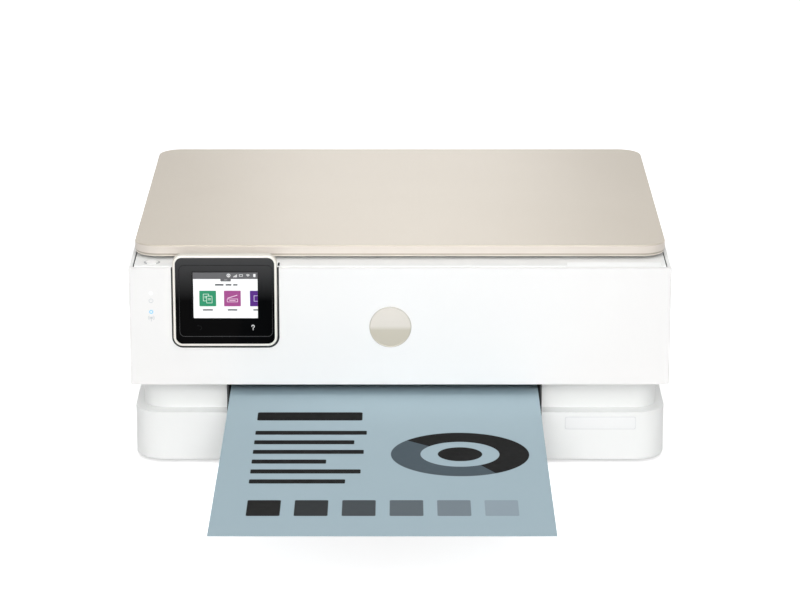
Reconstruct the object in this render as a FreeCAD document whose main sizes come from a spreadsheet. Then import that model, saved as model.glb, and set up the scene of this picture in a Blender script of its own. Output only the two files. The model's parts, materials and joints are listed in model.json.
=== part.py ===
import FreeCAD, Part
import math
import os
import re
import Sketcher

# Desktop inkjet printer with a flatbed scanner, in millimetres.
# +Z is up, -Y is the front, and Z = 0 is the table that the feet stand on.
# Every driving size is a cell of the Sizes sheet; every place worked out from
# those sizes is a cell of the Places sheet. Nothing else holds a dimension.

SIZES = (
    # Outer shell
    ("body_width", "460", "upper shell, side to side"),
    ("body_depth", "383", "front face to rear face"),
    ("body_top", "178", "top of the front wall above the table"),
    ("shell_bottom", "75", "underside of the upper shell above the table"),
    ("shell_wall", "3", "side and rear wall of the upper shell"),
    ("shell_corner", "8", "rear corner radius of the upper shell"),
    ("shell_floor", "3", "floor flange of the upper shell"),
    ("front_wall", "4.5", "front wall"),
    ("front_edge", "1.2", "rounding of the front wall's upright edges"),
    # Base
    ("foot_height", "3", "rubber foot below the base"),
    ("foot_radius", "8", "rubber foot"),
    ("foot_inset", "36", "foot centre from the base's sides"),
    ("base_top", "46", "top of the base rim above the table"),
    ("base_wall", "2.5", "base walls and floor"),
    ("base_corner", "26", "base corner radius in plan"),
    ("base_edge", "1.5", "rounding of the base's lower edge"),
    ("base_front_inset", "12", "base front behind the front face"),
    ("base_side_inset", "1.1", "base sides inside the shell sides"),
    ("base_rear_inset", "5", "base rear inside the shell rear"),
    ("rim_front", "14.2", "rim depth in front of the neck"),
    ("rim_side", "7", "rim width beside the neck"),
    # Output slot and its lining
    ("slot_width", "270.7", "opening in the base"),
    ("path_left", "13.4", "paper path centre, left of the middle"),
    ("bay_wall", "1.6", "lining of the opening"),
    ("bay_setback", "2.4", "lining behind the base front"),
    # Scanner module
    ("module_height", "37.5", "tub and top frame together"),
    ("module_gap", "1.2", "gap between the module and the shell walls"),
    ("module_rear_inset", "1", "module rear inside the shell rear"),
    ("module_wall", "2.5", "tub walls and floor"),
    ("ledge_rise", "0.6", "ledge above the front wall's top"),
    ("ledge_edge", "1.2", "rounding of the ledge's front edge"),
    ("frame_height", "6", "top frame thickness"),
    ("scoop_side", "8", "right end of the finger scoop from the shell's right side"),
    ("scoop_width", "80", "finger scoop along the ledge"),
    ("scoop_reach", "11", "finger scoop, front to back"),
    ("scoop_drop", "4", "finger scoop depth at the front edge"),
    ("glass_length", "312", "scanner glass, side to side"),
    ("glass_width", "228", "scanner glass, front to back"),
    ("glass_thick", "3", "scanner glass"),
    ("glass_drop", "0.5", "glass top below the module top"),
    ("glass_lip", "4", "ledge under the glass edge"),
    ("glass_setback", "50", "glass front edge behind the lid front"),
    ("scan_bar_width", "20", "scan bar along its travel"),
    ("scan_bar_height", "15", "scan bar"),
    ("scan_rod_radius", "3", "guide rod of the scan bar"),
    ("module_hinge_span", "150", "module hinge from the middle"),
    ("module_hinge_inset", "9", "module hinge axis inside the module rear"),
    ("module_hinge_rise", "5", "module hinge axis above the module bottom"),
    ("module_hinge_width", "10", "module hinge bracket"),
    ("module_ear_radius", "4.4", "module hinge bracket around its pin"),
    ("module_pin_radius", "2", "module hinge pin"),
    ("pin_engage", "6", "module and lid hinge pins inside their bores"),
    ("module_rear_bevel", "5", "bevel under the module's rear edge"),
    ("button_radius", "6.6", "power button"),
    ("button_side", "18.8", "power button from the shell's left side"),
    ("button_back", "17.5", "power button behind the front face"),
    ("button_proud", "0.5", "power button above the ledge"),
    ("button_height", "4.6", "power button"),
    ("button_edge", "0.6", "rounding of the power button"),
    ("button_gap", "0.4", "gap around the power button"),
    # Lid
    ("lid_side_inset", "2.4", "lid sides inside the shell sides"),
    ("lid_rear_inset", "9.2", "lid rear inside the shell rear"),
    ("lid_setback", "26.8", "lid front behind the front face"),
    ("lid_height", "9.8", "lid, lip included"),
    ("lid_gap", "2.6", "gap under the lid"),
    ("lid_corner", "21", "lid corner radius in plan"),
    ("lid_edge", "1.1", "rounding of the lid's top edge"),
    ("lid_wall", "2.4", "lid walls and roof"),
    ("lip_height", "2", "lower lip of the lid"),
    ("lip_inset", "0.7", "lower lip inside the lid's side"),
    ("pad_margin", "6", "backing pad inside the glass edge"),
    ("pad_gap", "0.4", "backing pad above the glass"),
    ("liner_sink", "0.8", "inner panel above the lid's lower edge"),
    ("liner_thick", "2", "inner panel"),
    ("liner_gap", "0.4", "gap around the inner panel"),
    ("lid_hinge_span", "150", "lid hinge from the middle"),
    ("lid_hinge_inset", "3.6", "lid hinge axis inside the lid's rear edge"),
    ("lid_hinge_rise", "4.2", "lid hinge axis above the lid's lower edge"),
    ("lid_hinge_width", "8", "lid hinge bracket"),
    ("lid_ear_radius", "2.5", "lid hinge bracket around its pin"),
    ("lid_pin_radius", "1.5", "lid hinge pin"),
    ("hinge_side_gap", "0.5", "gap beside a hinge bracket"),
    ("running_gap", "0.05", "radial gap of a turning or sliding shaft"),
    # Control panel
    ("panel_width", "88.3", "control panel"),
    ("panel_height", "80.1", "control panel"),
    ("panel_side", "81.65", "control panel centre from the shell's left side"),
    ("panel_rise", "12.7", "control panel top above the front wall's top"),
    ("panel_proud", "5", "control panel face in front of the front face"),
    ("panel_sink", "2.4", "control panel back behind the front face"),
    ("panel_corner", "8", "control panel corner radius"),
    ("panel_edge", "1.2", "rounding of the control panel's edges"),
    ("panel_gap", "0.6", "gap around the control panel"),
    ("panel_rim", "2.1", "rim around the touch glass"),
    ("touch_thick", "1.6", "touch glass"),
    ("touch_sink", "0.3", "touch glass below the rim"),
    ("touch_gap", "0.1", "gap around the touch glass and the display"),
    ("display_width", "55.6", "display"),
    ("display_height", "41.2", "display"),
    ("display_rise", "5.05", "display centre above the panel centre"),
    ("display_depth", "4", "display module"),
    ("tilt_ear_span", "36", "tilt hinge ear from the panel centre"),
    ("tilt_ear_width", "5", "tilt hinge ear"),
    ("tilt_ear_radius", "2.2", "tilt hinge ear around its pin"),
    ("tilt_ear_length", "18", "tilt hinge ear, root to axis"),
    ("tilt_pin_radius", "1.2", "tilt hinge pin"),
    ("tilt_pin_engage", "3.5", "tilt hinge pin inside the panel"),
    ("tilt_axis_drop", "4", "tilt axis below the panel top"),
    ("tilt_axis_back", "0.8", "tilt axis behind the front face"),
    ("bracket_thick", "1.8", "panel bracket plate"),
    ("lining_side", "1", "panel bracket's lining beside the panel"),
    ("lining_low", "2.2", "panel bracket's lining below the panel"),
    ("lining_back", "0.3", "panel bracket's lining behind the front face"),
    # Status lights
    ("light_radius", "1.8", "status light"),
    ("light_side", "18.6", "status lights from the shell's left side"),
    ("power_light_height", "156.1", "power light above the table"),
    ("wireless_light_height", "139.6", "wireless light above the table"),
    # Paper tray
    ("tray_side_gap", "1.2", "tray inside the lining"),
    ("tray_floor_gap", "0.7", "tray above the base floor"),
    ("tray_wall", "2", "tray walls and floor"),
    ("tray_height", "28", "tray bin"),
    ("tray_length", "288", "tray bin, front to back"),
    ("tray_front_thick", "4", "tray front"),
    ("tray_front_height", "30", "tray front"),
    ("tray_notch_radius", "17", "finger notch in the tray front"),
    ("tray_notch_rise", "5", "centre of the finger notch above the tray front"),
    ("stack_width", "215.9", "plain sheets"),
    ("stack_length", "279.4", "plain sheets"),
    ("stack_height", "6", "plain sheets"),
    ("stack_gap", "0.4", "gap between the sheets and a guide"),
    ("guide_wall", "2", "paper guide"),
    ("guide_height", "18", "paper guide"),
    ("guide_length", "92", "paper guide"),
    ("guide_foot", "9", "paper guide foot"),
    ("guide_setback", "70", "paper guide behind the tray's front wall"),
    ("slide_gap", "0.4", "gap under a sliding piece"),
    ("photo_length", "120", "photo tray"),
    ("photo_height", "8", "photo tray"),
    ("photo_setback", "30", "photo tray behind the tray's front wall"),
    ("photo_bay_width", "104", "pocket of the photo tray"),
    ("rail_width", "9", "rails that carry the photo tray"),
    ("rail_thick", "2", "rails that carry the photo tray"),
    ("shelf_thick", "3", "output shelf"),
    ("shelf_setback", "14", "output shelf behind the tray front's face"),
    ("extension_reach", "294", "tray extension in front of the front face"),
    ("extension_hold", "34", "tray extension behind the shelf's front edge"),
    ("extension_width", "120", "tray extension"),
    ("extension_thick", "2", "tray extension"),
    ("extension_corner", "10", "tray extension's corner radius"),
    ("extension_travel", "280", "tray extension pushed in"),
    ("extension_room", "3", "tray extension from the pickup arm"),
    ("rest_thick", "3", "paper rest at the end of the tray extension"),
    ("hanger_lip", "1.2", "lip under the tray extension"),
    ("hanger_reach", "4", "lip under the tray extension"),
    # Printed sheet
    ("sheet_width", "264", "printed sheet"),
    ("sheet_thick", "0.3", "printed sheet"),
    ("sheet_reach", "361", "sheet in front of the front face"),
    ("sheet_tail", "110", "sheet behind the front face"),
    ("sheet_rise", "4", "sheet's near edge above the slot"),
    ("exit_gap", "9", "sheet below the shell's underside"),
    ("paper_gap", "0.35", "gap between paper and what it passes"),
    # Chassis and carriage
    ("plate_thick", "1.6", "chassis plates"),
    ("plate_flange", "12", "foot of a chassis plate"),
    ("left_room", "34", "left plate inside the neck wall"),
    ("right_room", "10", "right plate inside the neck wall"),
    ("plate_front_room", "10", "chassis plates in front of the eject roller"),
    ("plate_rear_room", "12", "chassis plates behind the pickup shaft"),
    ("top_room", "8", "carriage below the module"),
    ("carriage_width", "80", "carriage along its travel"),
    ("carriage_depth", "45", "carriage, front to back"),
    ("carriage_wall", "2.5", "carriage walls and floor"),
    ("carriage_park", "6", "parked carriage from the right plate"),
    ("carriage_back_height", "30", "carriage block around the rod"),
    ("head_gap", "3", "carriage floor above the sheet"),
    ("nozzle_drop", "1.5", "nozzle block below the carriage floor"),
    ("nozzle_width", "20", "nozzle block"),
    ("nozzle_depth", "14", "nozzle block"),
    ("cartridge_gap", "0.5", "gap around a cartridge"),
    ("cartridge_drop", "6", "cartridge top below the carriage top"),
    ("rod_radius", "4", "carriage rod"),
    ("rod_back", "10", "carriage rod behind the feed roller"),
    ("rod_drop", "22", "carriage rod below the carriage top"),
    ("rod_wall", "7", "carriage around the rod"),
    ("belt_back", "16", "carriage belt behind the rod"),
    ("belt_drop", "14", "carriage belt's middle below the carriage top"),
    ("belt_width", "5", "timing belts"),
    ("belt_thick", "1.2", "timing belts"),
    ("belt_gap", "0.06", "gap between a belt and its pulley"),
    ("pulley_radius", "6", "carriage belt pulleys"),
    ("pulley_width", "7", "carriage belt pulleys"),
    ("pulley_inset", "16", "carriage belt pulleys inside the plates"),
    ("clamp_gap", "0.4", "carriage clamp under the belt"),
    ("clamp_height", "4", "carriage clamp"),
    ("beam_thick", "2", "carriage beam"),
    ("beam_height", "40", "carriage beam"),
    ("beam_back", "7", "carriage beam behind the belt"),
    ("pin_radius", "2", "idler pulley pin"),
    ("motor_radius", "13", "carriage motor"),
    ("motor_length", "24", "carriage motor"),
    ("shaft_radius", "1.6", "motor shafts"),
    ("shaft_length", "8", "motor shafts inside the motors"),
    ("shaft_room", "0.6", "gap around a shaft that passes a plate"),
    # Rollers
    ("eject_back", "96", "eject roller behind the front face"),
    ("feed_spacing", "70", "feed roller behind the eject roller"),
    ("roller_radius", "5.6", "feed and eject rollers"),
    ("roller_shaft", "3", "feed and eject roller shafts"),
    ("roller_ring", "12", "eject roller rings"),
    ("ring_pitch", "46", "eject roller ring spacing"),
    ("press_radius", "4", "pinch rollers and star wheels"),
    ("press_shaft", "1.2", "pinch roller and star wheel shafts"),
    ("star_width", "1.4", "star wheels"),
    ("pinch_width", "24", "pinch rollers"),
    ("platen_height", "6", "platen"),
    ("platen_room", "3", "platen from the rollers"),
    ("rib_height", "1.4", "platen ribs"),
    ("rib_width", "1.6", "platen ribs"),
    ("rib_pitch", "22", "platen rib spacing"),
    ("drive_radius", "15", "feed pulley, motor belt rim"),
    ("link_radius", "9", "feed and eject pulleys, eject belt rim"),
    ("drive_width", "7", "width of one belt rim"),
    ("drive_gap", "1", "gap between a plate and a rim"),
    ("feed_motor_back", "52", "feed motor behind the feed roller"),
    ("feed_motor_radius", "15", "feed motor"),
    ("feed_motor_length", "28", "feed motor"),
    ("feed_pinion_radius", "5", "feed motor pulley"),
    # Pickup
    ("pickup_back", "84", "pickup shaft behind the feed roller"),
    ("pickup_height", "52", "pickup shaft above the table"),
    ("pickup_reach", "38", "pickup roller in front of its shaft"),
    ("pickup_shaft_radius", "3", "pickup shaft"),
    ("pickup_radius", "9", "pickup roller"),
    ("pickup_width", "26", "pickup roller"),
    ("pickup_axle", "2.4", "pickup roller axle"),
    ("arm_wall", "4", "pickup arm side"),
    ("arm_height", "11", "pickup arm"),
    ("arm_gap", "0.6", "gap beside the pickup roller"),
    # Service station, boards and sockets
    ("station_room", "4", "service station from its neighbours"),
    ("station_gap", "3.5", "service station below the sheet"),
    ("board_length", "92", "main board, front to back"),
    ("board_thick", "1.6", "main board"),
    ("board_lift", "8", "main board above the base floor"),
    ("board_room", "5", "main board from the base walls and the tray"),
    ("spacer_radius", "3", "main board spacers"),
    ("chip_size", "22", "main processor"),
    ("chip_height", "2.4", "main processor"),
    ("supply_clear", "11.5", "power supply behind the left chassis plate"),
    ("supply_height", "36", "power supply"),
    ("supply_room", "4", "power supply from the base walls and the tray"),
    ("inlet_width", "24", "power inlet"),
    ("inlet_height", "16", "power inlet"),
    ("inlet_depth", "14", "power inlet"),
    ("inlet_bore", "4", "power inlet bores"),
    ("inlet_pitch", "8.6", "power inlet bores"),
    ("inlet_reach", "10", "power inlet bore depth"),
    ("inlet_pin", "1.2", "power inlet pins"),
    ("usb_width", "12", "data socket"),
    ("usb_height", "10.8", "data socket"),
    ("usb_depth", "16", "data socket"),
    ("usb_wall", "0.8", "data socket shell"),
    ("usb_tongue", "3.2", "data socket tongue"),
    ("usb_mouth", "6", "data socket in front of its tongue"),
    ("flange_proud", "0.8", "sockets behind the base rear"),
    # Rear door
    ("door_width", "252", "rear access door"),
    ("door_drop", "10", "door top below the module"),
    ("door_rise", "5", "door opening above the shell floor"),
    ("door_gap", "0.6", "gap around the door"),
    ("door_pin_radius", "0.9", "door hinge pins"),
    ("door_pin_length", "4", "door hinge pins"),
    ("door_guide_depth", "12", "paper guide ribs on the door"),
    ("door_guide_width", "2.5", "paper guide ribs on the door"),
    ("door_guide_pitch", "58", "paper guide ribs on the door"),
)

PLACES = (
    ("front_y", "(sheet_reach - body_depth) / 2", "front face"),
    ("rear_y", "front_y + body_depth", "rear face"),
    ("half_width", "body_width / 2", "shell side"),
    ("inner_half", "half_width - shell_wall", "shell side wall, inside"),
    ("wall_back", "front_y + front_wall", "front wall, inside"),
    ("base_half", "half_width - base_side_inset", "base side"),
    ("base_front", "front_y + base_front_inset", "base front"),
    ("base_rear", "rear_y - base_rear_inset", "base rear"),
    ("neck_half", "base_half - rim_side", "neck side"),
    ("neck_front", "base_front + rim_front", "neck front"),
    ("neck_rear", "base_rear - rim_side", "neck rear"),
    ("neck_corner", "base_corner - rim_side", "neck corner radius"),
    ("floor_top", "foot_height + base_wall", "base floor, inside"),
    ("neck_inner", "neck_half - base_wall", "neck side wall, inside"),
    ("path_x", "-path_left", "paper path centre"),
    ("slot_left", "path_x - slot_width / 2", "opening, left side"),
    ("slot_right", "path_x + slot_width / 2", "opening, right side"),
    ("module_top", "body_top + ledge_rise", "ledge"),
    ("module_bottom", "module_top - module_height", "module underside"),
    ("frame_bottom", "module_top - frame_height", "top frame underside"),
    ("module_half", "inner_half - module_gap", "module side"),
    ("module_front", "wall_back + module_gap", "module front"),
    ("module_rear", "rear_y - module_rear_inset", "module rear"),
    ("module_axis_y", "module_rear - module_hinge_inset", "module hinge axis"),
    ("module_axis_z", "module_bottom + module_hinge_rise", "module hinge axis"),
    ("scoop_right", "half_width - scoop_side", "finger scoop, right end"),
    ("button_x", "button_side - half_width", "power button"),
    ("light_x", "light_side - half_width", "status lights"),
    ("lid_half", "half_width - lid_side_inset", "lid side"),
    ("lid_front", "front_y + lid_setback", "lid front"),
    ("lid_rear", "rear_y - lid_rear_inset", "lid rear"),
    ("lid_bottom", "module_top + lid_gap", "lid lower edge"),
    ("lid_top", "lid_bottom + lid_height", "lid top"),
    ("lid_roof", "lid_top - lid_wall", "lid roof, inside"),
    ("lid_axis_y", "lid_rear - lid_hinge_inset", "lid hinge axis"),
    ("lid_axis_z", "lid_bottom + lid_hinge_rise", "lid hinge axis"),
    ("glass_top", "module_top - glass_drop", "glass top"),
    ("glass_bottom", "glass_top - glass_thick", "glass underside"),
    ("glass_front", "lid_front + glass_setback", "glass front edge"),
    ("glass_rear", "glass_front + glass_width", "glass rear edge"),
    ("glass_middle", "glass_front + glass_width / 2", "glass middle line"),
    ("panel_x", "panel_side - half_width", "control panel centre"),
    ("panel_top", "body_top + panel_rise", "control panel top"),
    ("panel_low", "panel_top - panel_height", "control panel lower edge"),
    ("panel_z", "panel_top - panel_height / 2", "control panel centre"),
    ("panel_face", "front_y - panel_proud", "control panel front"),
    ("panel_rear", "front_y + panel_sink", "control panel back"),
    ("notch_half", "panel_width / 2 + panel_gap + lining_side", "panel notch from the panel centre"),
    ("notch_low", "panel_low - panel_gap - lining_low", "panel notch, lower edge"),
    ("notch_corner", "panel_corner + panel_gap + lining_side", "panel notch's corner radius"),
    ("touch_face", "panel_face + touch_sink", "touch glass front"),
    ("touch_back", "touch_face + touch_thick", "touch glass back"),
    ("display_z", "panel_z + display_rise", "display centre"),
    ("display_back", "touch_face + display_depth", "display back"),
    ("tilt_axis_y", "front_y + tilt_axis_back", "tilt axis"),
    ("tilt_axis_z", "panel_top - tilt_axis_drop", "tilt axis"),
    ("sheet_z", "shell_bottom - exit_gap", "sheet's middle plane inside"),
    ("platen_top", "sheet_z - sheet_thick / 2 - paper_gap", "top of what carries paper"),
    ("press_low", "sheet_z + sheet_thick / 2 + paper_gap", "lowest point of what presses paper"),
    ("roller_z", "platen_top - roller_radius", "feed and eject axes"),
    ("press_z", "press_low + press_radius", "pinch and star axes"),
    ("eject_y", "front_y + eject_back", "eject axis"),
    ("feed_y", "eject_y + feed_spacing", "feed axis"),
    ("bay_front", "base_front + bay_setback", "lining, front"),
    ("bay_rear", "eject_y - roller_radius - platen_room", "lining, rear"),
    ("tray_half", "slot_width / 2 - bay_wall - tray_side_gap", "tray side from the path centre"),
    ("tray_low", "floor_top + tray_floor_gap", "tray underside"),
    ("tray_floor", "tray_low + tray_wall", "tray floor, inside"),
    ("tray_top", "tray_low + tray_height", "tray bin top"),
    ("tray_y", "base_front + tray_front_thick", "tray bin, front"),
    ("tray_inside", "tray_y + tray_wall", "tray front wall, inside"),
    ("tray_rear", "tray_y + tray_length", "tray bin, rear"),
    ("stack_front", "tray_inside + stack_gap", "plain sheets, front"),
    ("stack_top", "tray_floor + stack_height", "plain sheets, top"),
    ("guide_inner", "stack_width / 2 + stack_gap", "guide from the path centre"),
    ("rail_top", "tray_top + rail_thick", "photo tray rails, top"),
    ("photo_low", "rail_top + slide_gap", "photo tray underside"),
    ("photo_half", "tray_half - tray_wall - tray_side_gap", "photo tray side from the path centre"),
    ("photo_front", "tray_inside + photo_setback", "photo tray front"),
    ("photo_top", "photo_low + photo_height", "photo tray, top"),
    ("shelf_front", "base_front + shelf_setback", "output shelf, front"),
    ("shelf_rear", "bay_rear - tray_side_gap", "output shelf, rear"),
    ("shelf_low", "platen_top - shelf_thick", "output shelf, underside"),
    ("hanger_low", "photo_top + slide_gap", "lip under the tray extension"),
    ("extension_low", "hanger_low + hanger_lip + slide_gap", "tray extension, underside"),
    ("extension_top", "extension_low + extension_thick", "tray extension, top"),
    ("extension_front", "front_y - extension_reach", "tray extension, front"),
    ("extension_rear", "shelf_front + extension_hold", "tray extension, rear"),
    ("sheet_bend", "(sheet_reach ^ 2 + sheet_rise ^ 2) / (2 * sheet_rise)", "bend radius of the sheet"),
    ("left_plate", "-(neck_inner - left_room)", "left plate, inner face"),
    ("right_plate", "neck_inner - right_room", "right plate, inner face"),
    ("plate_front", "eject_y - plate_front_room", "chassis plates, front"),
    ("pickup_y", "feed_y + pickup_back", "pickup shaft"),
    ("plate_rear", "pickup_y + plate_rear_room", "chassis plates, rear"),
    ("pickup_z", "stack_top + paper_gap + pickup_radius", "pickup roller axis"),
    ("carriage_low", "sheet_z + head_gap", "carriage floor, underside"),
    ("carriage_top", "module_bottom - top_room", "carriage top"),
    ("carriage_right", "right_plate - carriage_park", "parked carriage, right side"),
    ("carriage_left", "carriage_right - carriage_width", "parked carriage, left side"),
    ("carriage_front", "eject_y + press_radius + platen_room", "carriage, front"),
    ("carriage_rear", "carriage_front + carriage_depth", "carriage bay, rear"),
    ("rod_y", "feed_y + rod_back", "carriage rod"),
    ("rod_z", "carriage_top - rod_drop", "carriage rod"),
    ("belt_y", "rod_y + belt_back", "carriage belt, front edge"),
    ("belt_z", "carriage_top - belt_drop", "carriage belt, middle"),
    ("beam_y", "belt_y + belt_width + beam_back", "carriage beam, front face"),
    ("motor_x", "left_plate + pulley_inset", "carriage motor axis"),
    ("idler_x", "right_plate - pulley_inset", "idler pulley axis"),
    ("drive_x", "left_plate - plate_thick - drive_gap", "feed pulley, inner end"),
    ("link_x", "drive_x - drive_width", "between the two rims of the feed pulley"),
    ("drive_end", "link_x - drive_width", "feed pulley, outer end"),
    ("feed_motor_y", "feed_y + feed_motor_back", "feed motor axis"),
    ("bay_half", "(carriage_width - 3 * carriage_wall) / 4", "half of a cartridge bay"),
    ("black_x", "carriage_left + carriage_wall + bay_half", "black cartridge centre"),
    ("color_x", "carriage_right - carriage_wall - bay_half", "colour cartridge centre"),
    ("head_y", "(carriage_front + carriage_rear) / 2", "nozzle blocks"),
    ("station_left", "max(carriage_left; slot_right + tray_side_gap)", "service station, left side"),
    ("platen_right", "min(station_left; black_x - nozzle_width / 2 - station_room)", "platen, right end"),
    ("station_right", "right_plate - station_room", "service station, right side"),
    ("station_top", "sheet_z - station_gap", "service station, top"),
    ("inner_rear", "base_rear - base_wall", "base rear wall, inside"),
    ("board_left", "path_x + slot_width / 2 + board_room", "main board, left side"),
    ("board_right", "neck_inner - board_room", "main board, right side"),
    ("board_rear", "inner_rear - board_room", "main board, rear"),
    ("board_front", "board_rear - board_length", "main board, front"),
    ("board_top", "floor_top + board_lift + board_thick", "main board, top"),
    ("usb_x", "(board_left + board_right) / 2", "data socket"),
    ("supply_left", "-(neck_inner - supply_room)", "power supply, left side"),
    ("supply_right", "path_x - slot_width / 2 - supply_room", "power supply, right side"),
    ("supply_rear", "inner_rear - inlet_depth", "power supply, rear"),
    ("supply_front", "plate_rear + supply_clear", "power supply, front"),
    ("inlet_x", "(supply_left + supply_right) / 2", "power inlet"),
    ("inlet_z", "floor_top + supply_height / 2", "power inlet"),
    ("door_low", "shell_bottom + shell_floor + door_rise", "door opening, lower edge"),
    ("door_high", "module_bottom - door_drop", "door opening, upper edge"),
    ("door_axis_y", "rear_y - shell_wall / 2", "door hinge axis"),
    ("door_axis_z", "door_low + door_gap + shell_wall / 2", "door hinge axis"),
)

BEYOND = "10"
SIDES = (("left", -1), ("right", 1))

SIZE_NAMES = {alias for alias, number, meaning in SIZES}
PLACE_NAMES = {alias for alias, formula, meaning in PLACES}

doc = FreeCAD.newDocument("inkjet_printer")
sizes = doc.addObject("Spreadsheet::Sheet", "Sizes")
places = doc.addObject("Spreadsheet::Sheet", "Places")
parts = []


def linked(formula, sheet=None):
    """Return a formula with each named value written as a cell of its sheet."""
    def cell(match):
        word = match.group()
        if word in SIZE_NAMES:
            return f"Sizes.{word}"
        if word in PLACE_NAMES and sheet is not places:
            return f"Places.{word}"
        return word
    return re.sub(r"[A-Za-z_]\w*", cell, formula)


def fill_sheets():
    """Write the driving sizes as numbers and the places as formulas."""
    for row, (alias, number, meaning) in enumerate(SIZES, start=1):
        sizes.set(f"A{row}", meaning)
        sizes.set(f"B{row}", number)
        sizes.setAlias(f"B{row}", alias)
    for row, (alias, formula, meaning) in enumerate(PLACES, start=1):
        places.set(f"A{row}", meaning)
        places.setAlias(f"B{row}", alias)
    for row, (alias, formula, meaning) in enumerate(PLACES, start=1):
        places.set(f"B{row}", "=" + linked(formula, places))
    doc.recompute()


def bind(item, **formulas):
    """Bind properties of an object to formulas."""
    for name, formula in formulas.items():
        item.setExpression(name.replace("__", "."), linked(formula))


def number(formula):
    """Work out a formula now, for the first drawing of a sketch."""
    return float(sizes.evalExpression(linked(formula)))


def keep(label, item):
    """Name a finished sub-part, so that it is exported."""
    item.Label = label
    parts.append(item)
    return item


def box(name, x, y, z):
    """Make a block between two places on each axis."""
    block = doc.addObject("Part::Box", name)
    for side, axis, (low, high) in (("Length", "x", x), ("Width", "y", y), ("Height", "z", z)):
        bind(block, **{side: f"({high}) - ({low})", f"Placement__Base__{axis}": low})
    return block


AXIS_TURNS = {
    "x": FreeCAD.Rotation(FreeCAD.Vector(0, 1, 0), 90),
    "y": FreeCAD.Rotation(FreeCAD.Vector(1, 0, 0), -90),
    "z": FreeCAD.Rotation(),
}


def rod(name, axis, span, centre, radius):
    """Make a cylinder along an axis, between two places, around a centre line."""
    low, high = span
    cylinder = doc.addObject("Part::Cylinder", name)
    cylinder.Placement = FreeCAD.Placement(FreeCAD.Vector(), AXIS_TURNS[axis])
    others = [other for other in "xyz" if other != axis]
    start = dict(zip(others, centre))
    start[axis] = low
    bind(cylinder, Radius=radius, Height=f"({high}) - ({low})")
    bind(cylinder, **{f"Placement__Base__{key}": value for key, value in start.items()})
    return cylinder


def joined(name, *items):
    """Fuse several objects into one solid."""
    fusion = doc.addObject("Part::MultiFuse", name)
    fusion.Shapes = list(items)
    fusion.Refine = True
    return fusion


def less(name, base, *tools):
    """Cut one or more objects from another."""
    result = doc.addObject("Part::Cut", name)
    result.Base = base
    result.Tool = tools[0] if len(tools) == 1 else joined(f"{name}_tools", *tools)
    result.Refine = True
    return result


def together(name, *items):
    """Keep several separate solids in one object."""
    group = doc.addObject("Part::Compound", name)
    group.Links = list(items)
    return group


def new_body(label):
    """Start a sub-part that is made of sketches and features."""
    body = doc.addObject("PartDesign::Body", label)
    return keep(label, body)


def sketch_on(body, role, offset):
    """Start a sketch on one of a body's own planes, moved along the plane's normal."""
    sketch = body.newObject("Sketcher::SketchObject", f"{body.Name}_sketch")
    plane = next(item for item in body.Origin.OriginFeatures if item.Role == role)
    sketch.AttachmentSupport = [(plane, "")]
    sketch.MapMode = "FlatFace"
    bind(sketch, AttachmentOffset__Base__z=offset)
    return sketch


def point(u, v):
    """Return a point of a sketch."""
    return FreeCAD.Vector(u, v, 0)


def dimension(sketch, constraint, name, formula):
    """Add a dimension to a sketch and bind it to a formula."""
    index = sketch.addConstraint(constraint)
    sketch.renameConstraint(index, name)
    sketch.setExpression(f"Constraints.{name}", linked(formula))


def draw_outline(sketch, corners):
    """Draw a closed outline of straight lines through corners given as formulas."""
    spots = [point(number(u), number(v)) for u, v in corners]
    count = len(spots)
    first = sketch.GeometryCount
    for index in range(count):
        sketch.addGeometry(Part.LineSegment(spots[index], spots[(index + 1) % count]), False)
    for index in range(count):
        after = first + (index + 1) % count
        sketch.addConstraint(Sketcher.Constraint("Coincident", first + index, 2, after, 1))
    for index, (u, v) in enumerate(corners):
        line = first + index
        across = Sketcher.Constraint("DistanceX", -1, 1, line, 1, spots[index].x)
        dimension(sketch, across, f"u{line}", u)
        along = Sketcher.Constraint("DistanceY", -1, 1, line, 1, spots[index].y)
        dimension(sketch, along, f"v{line}", v)


def draw_rectangle(sketch, u, v):
    """Draw a rectangle between two places on each axis of the sketch."""
    draw_outline(sketch, ((u[0], v[0]), (u[1], v[0]), (u[1], v[1]), (u[0], v[1])))


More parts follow.
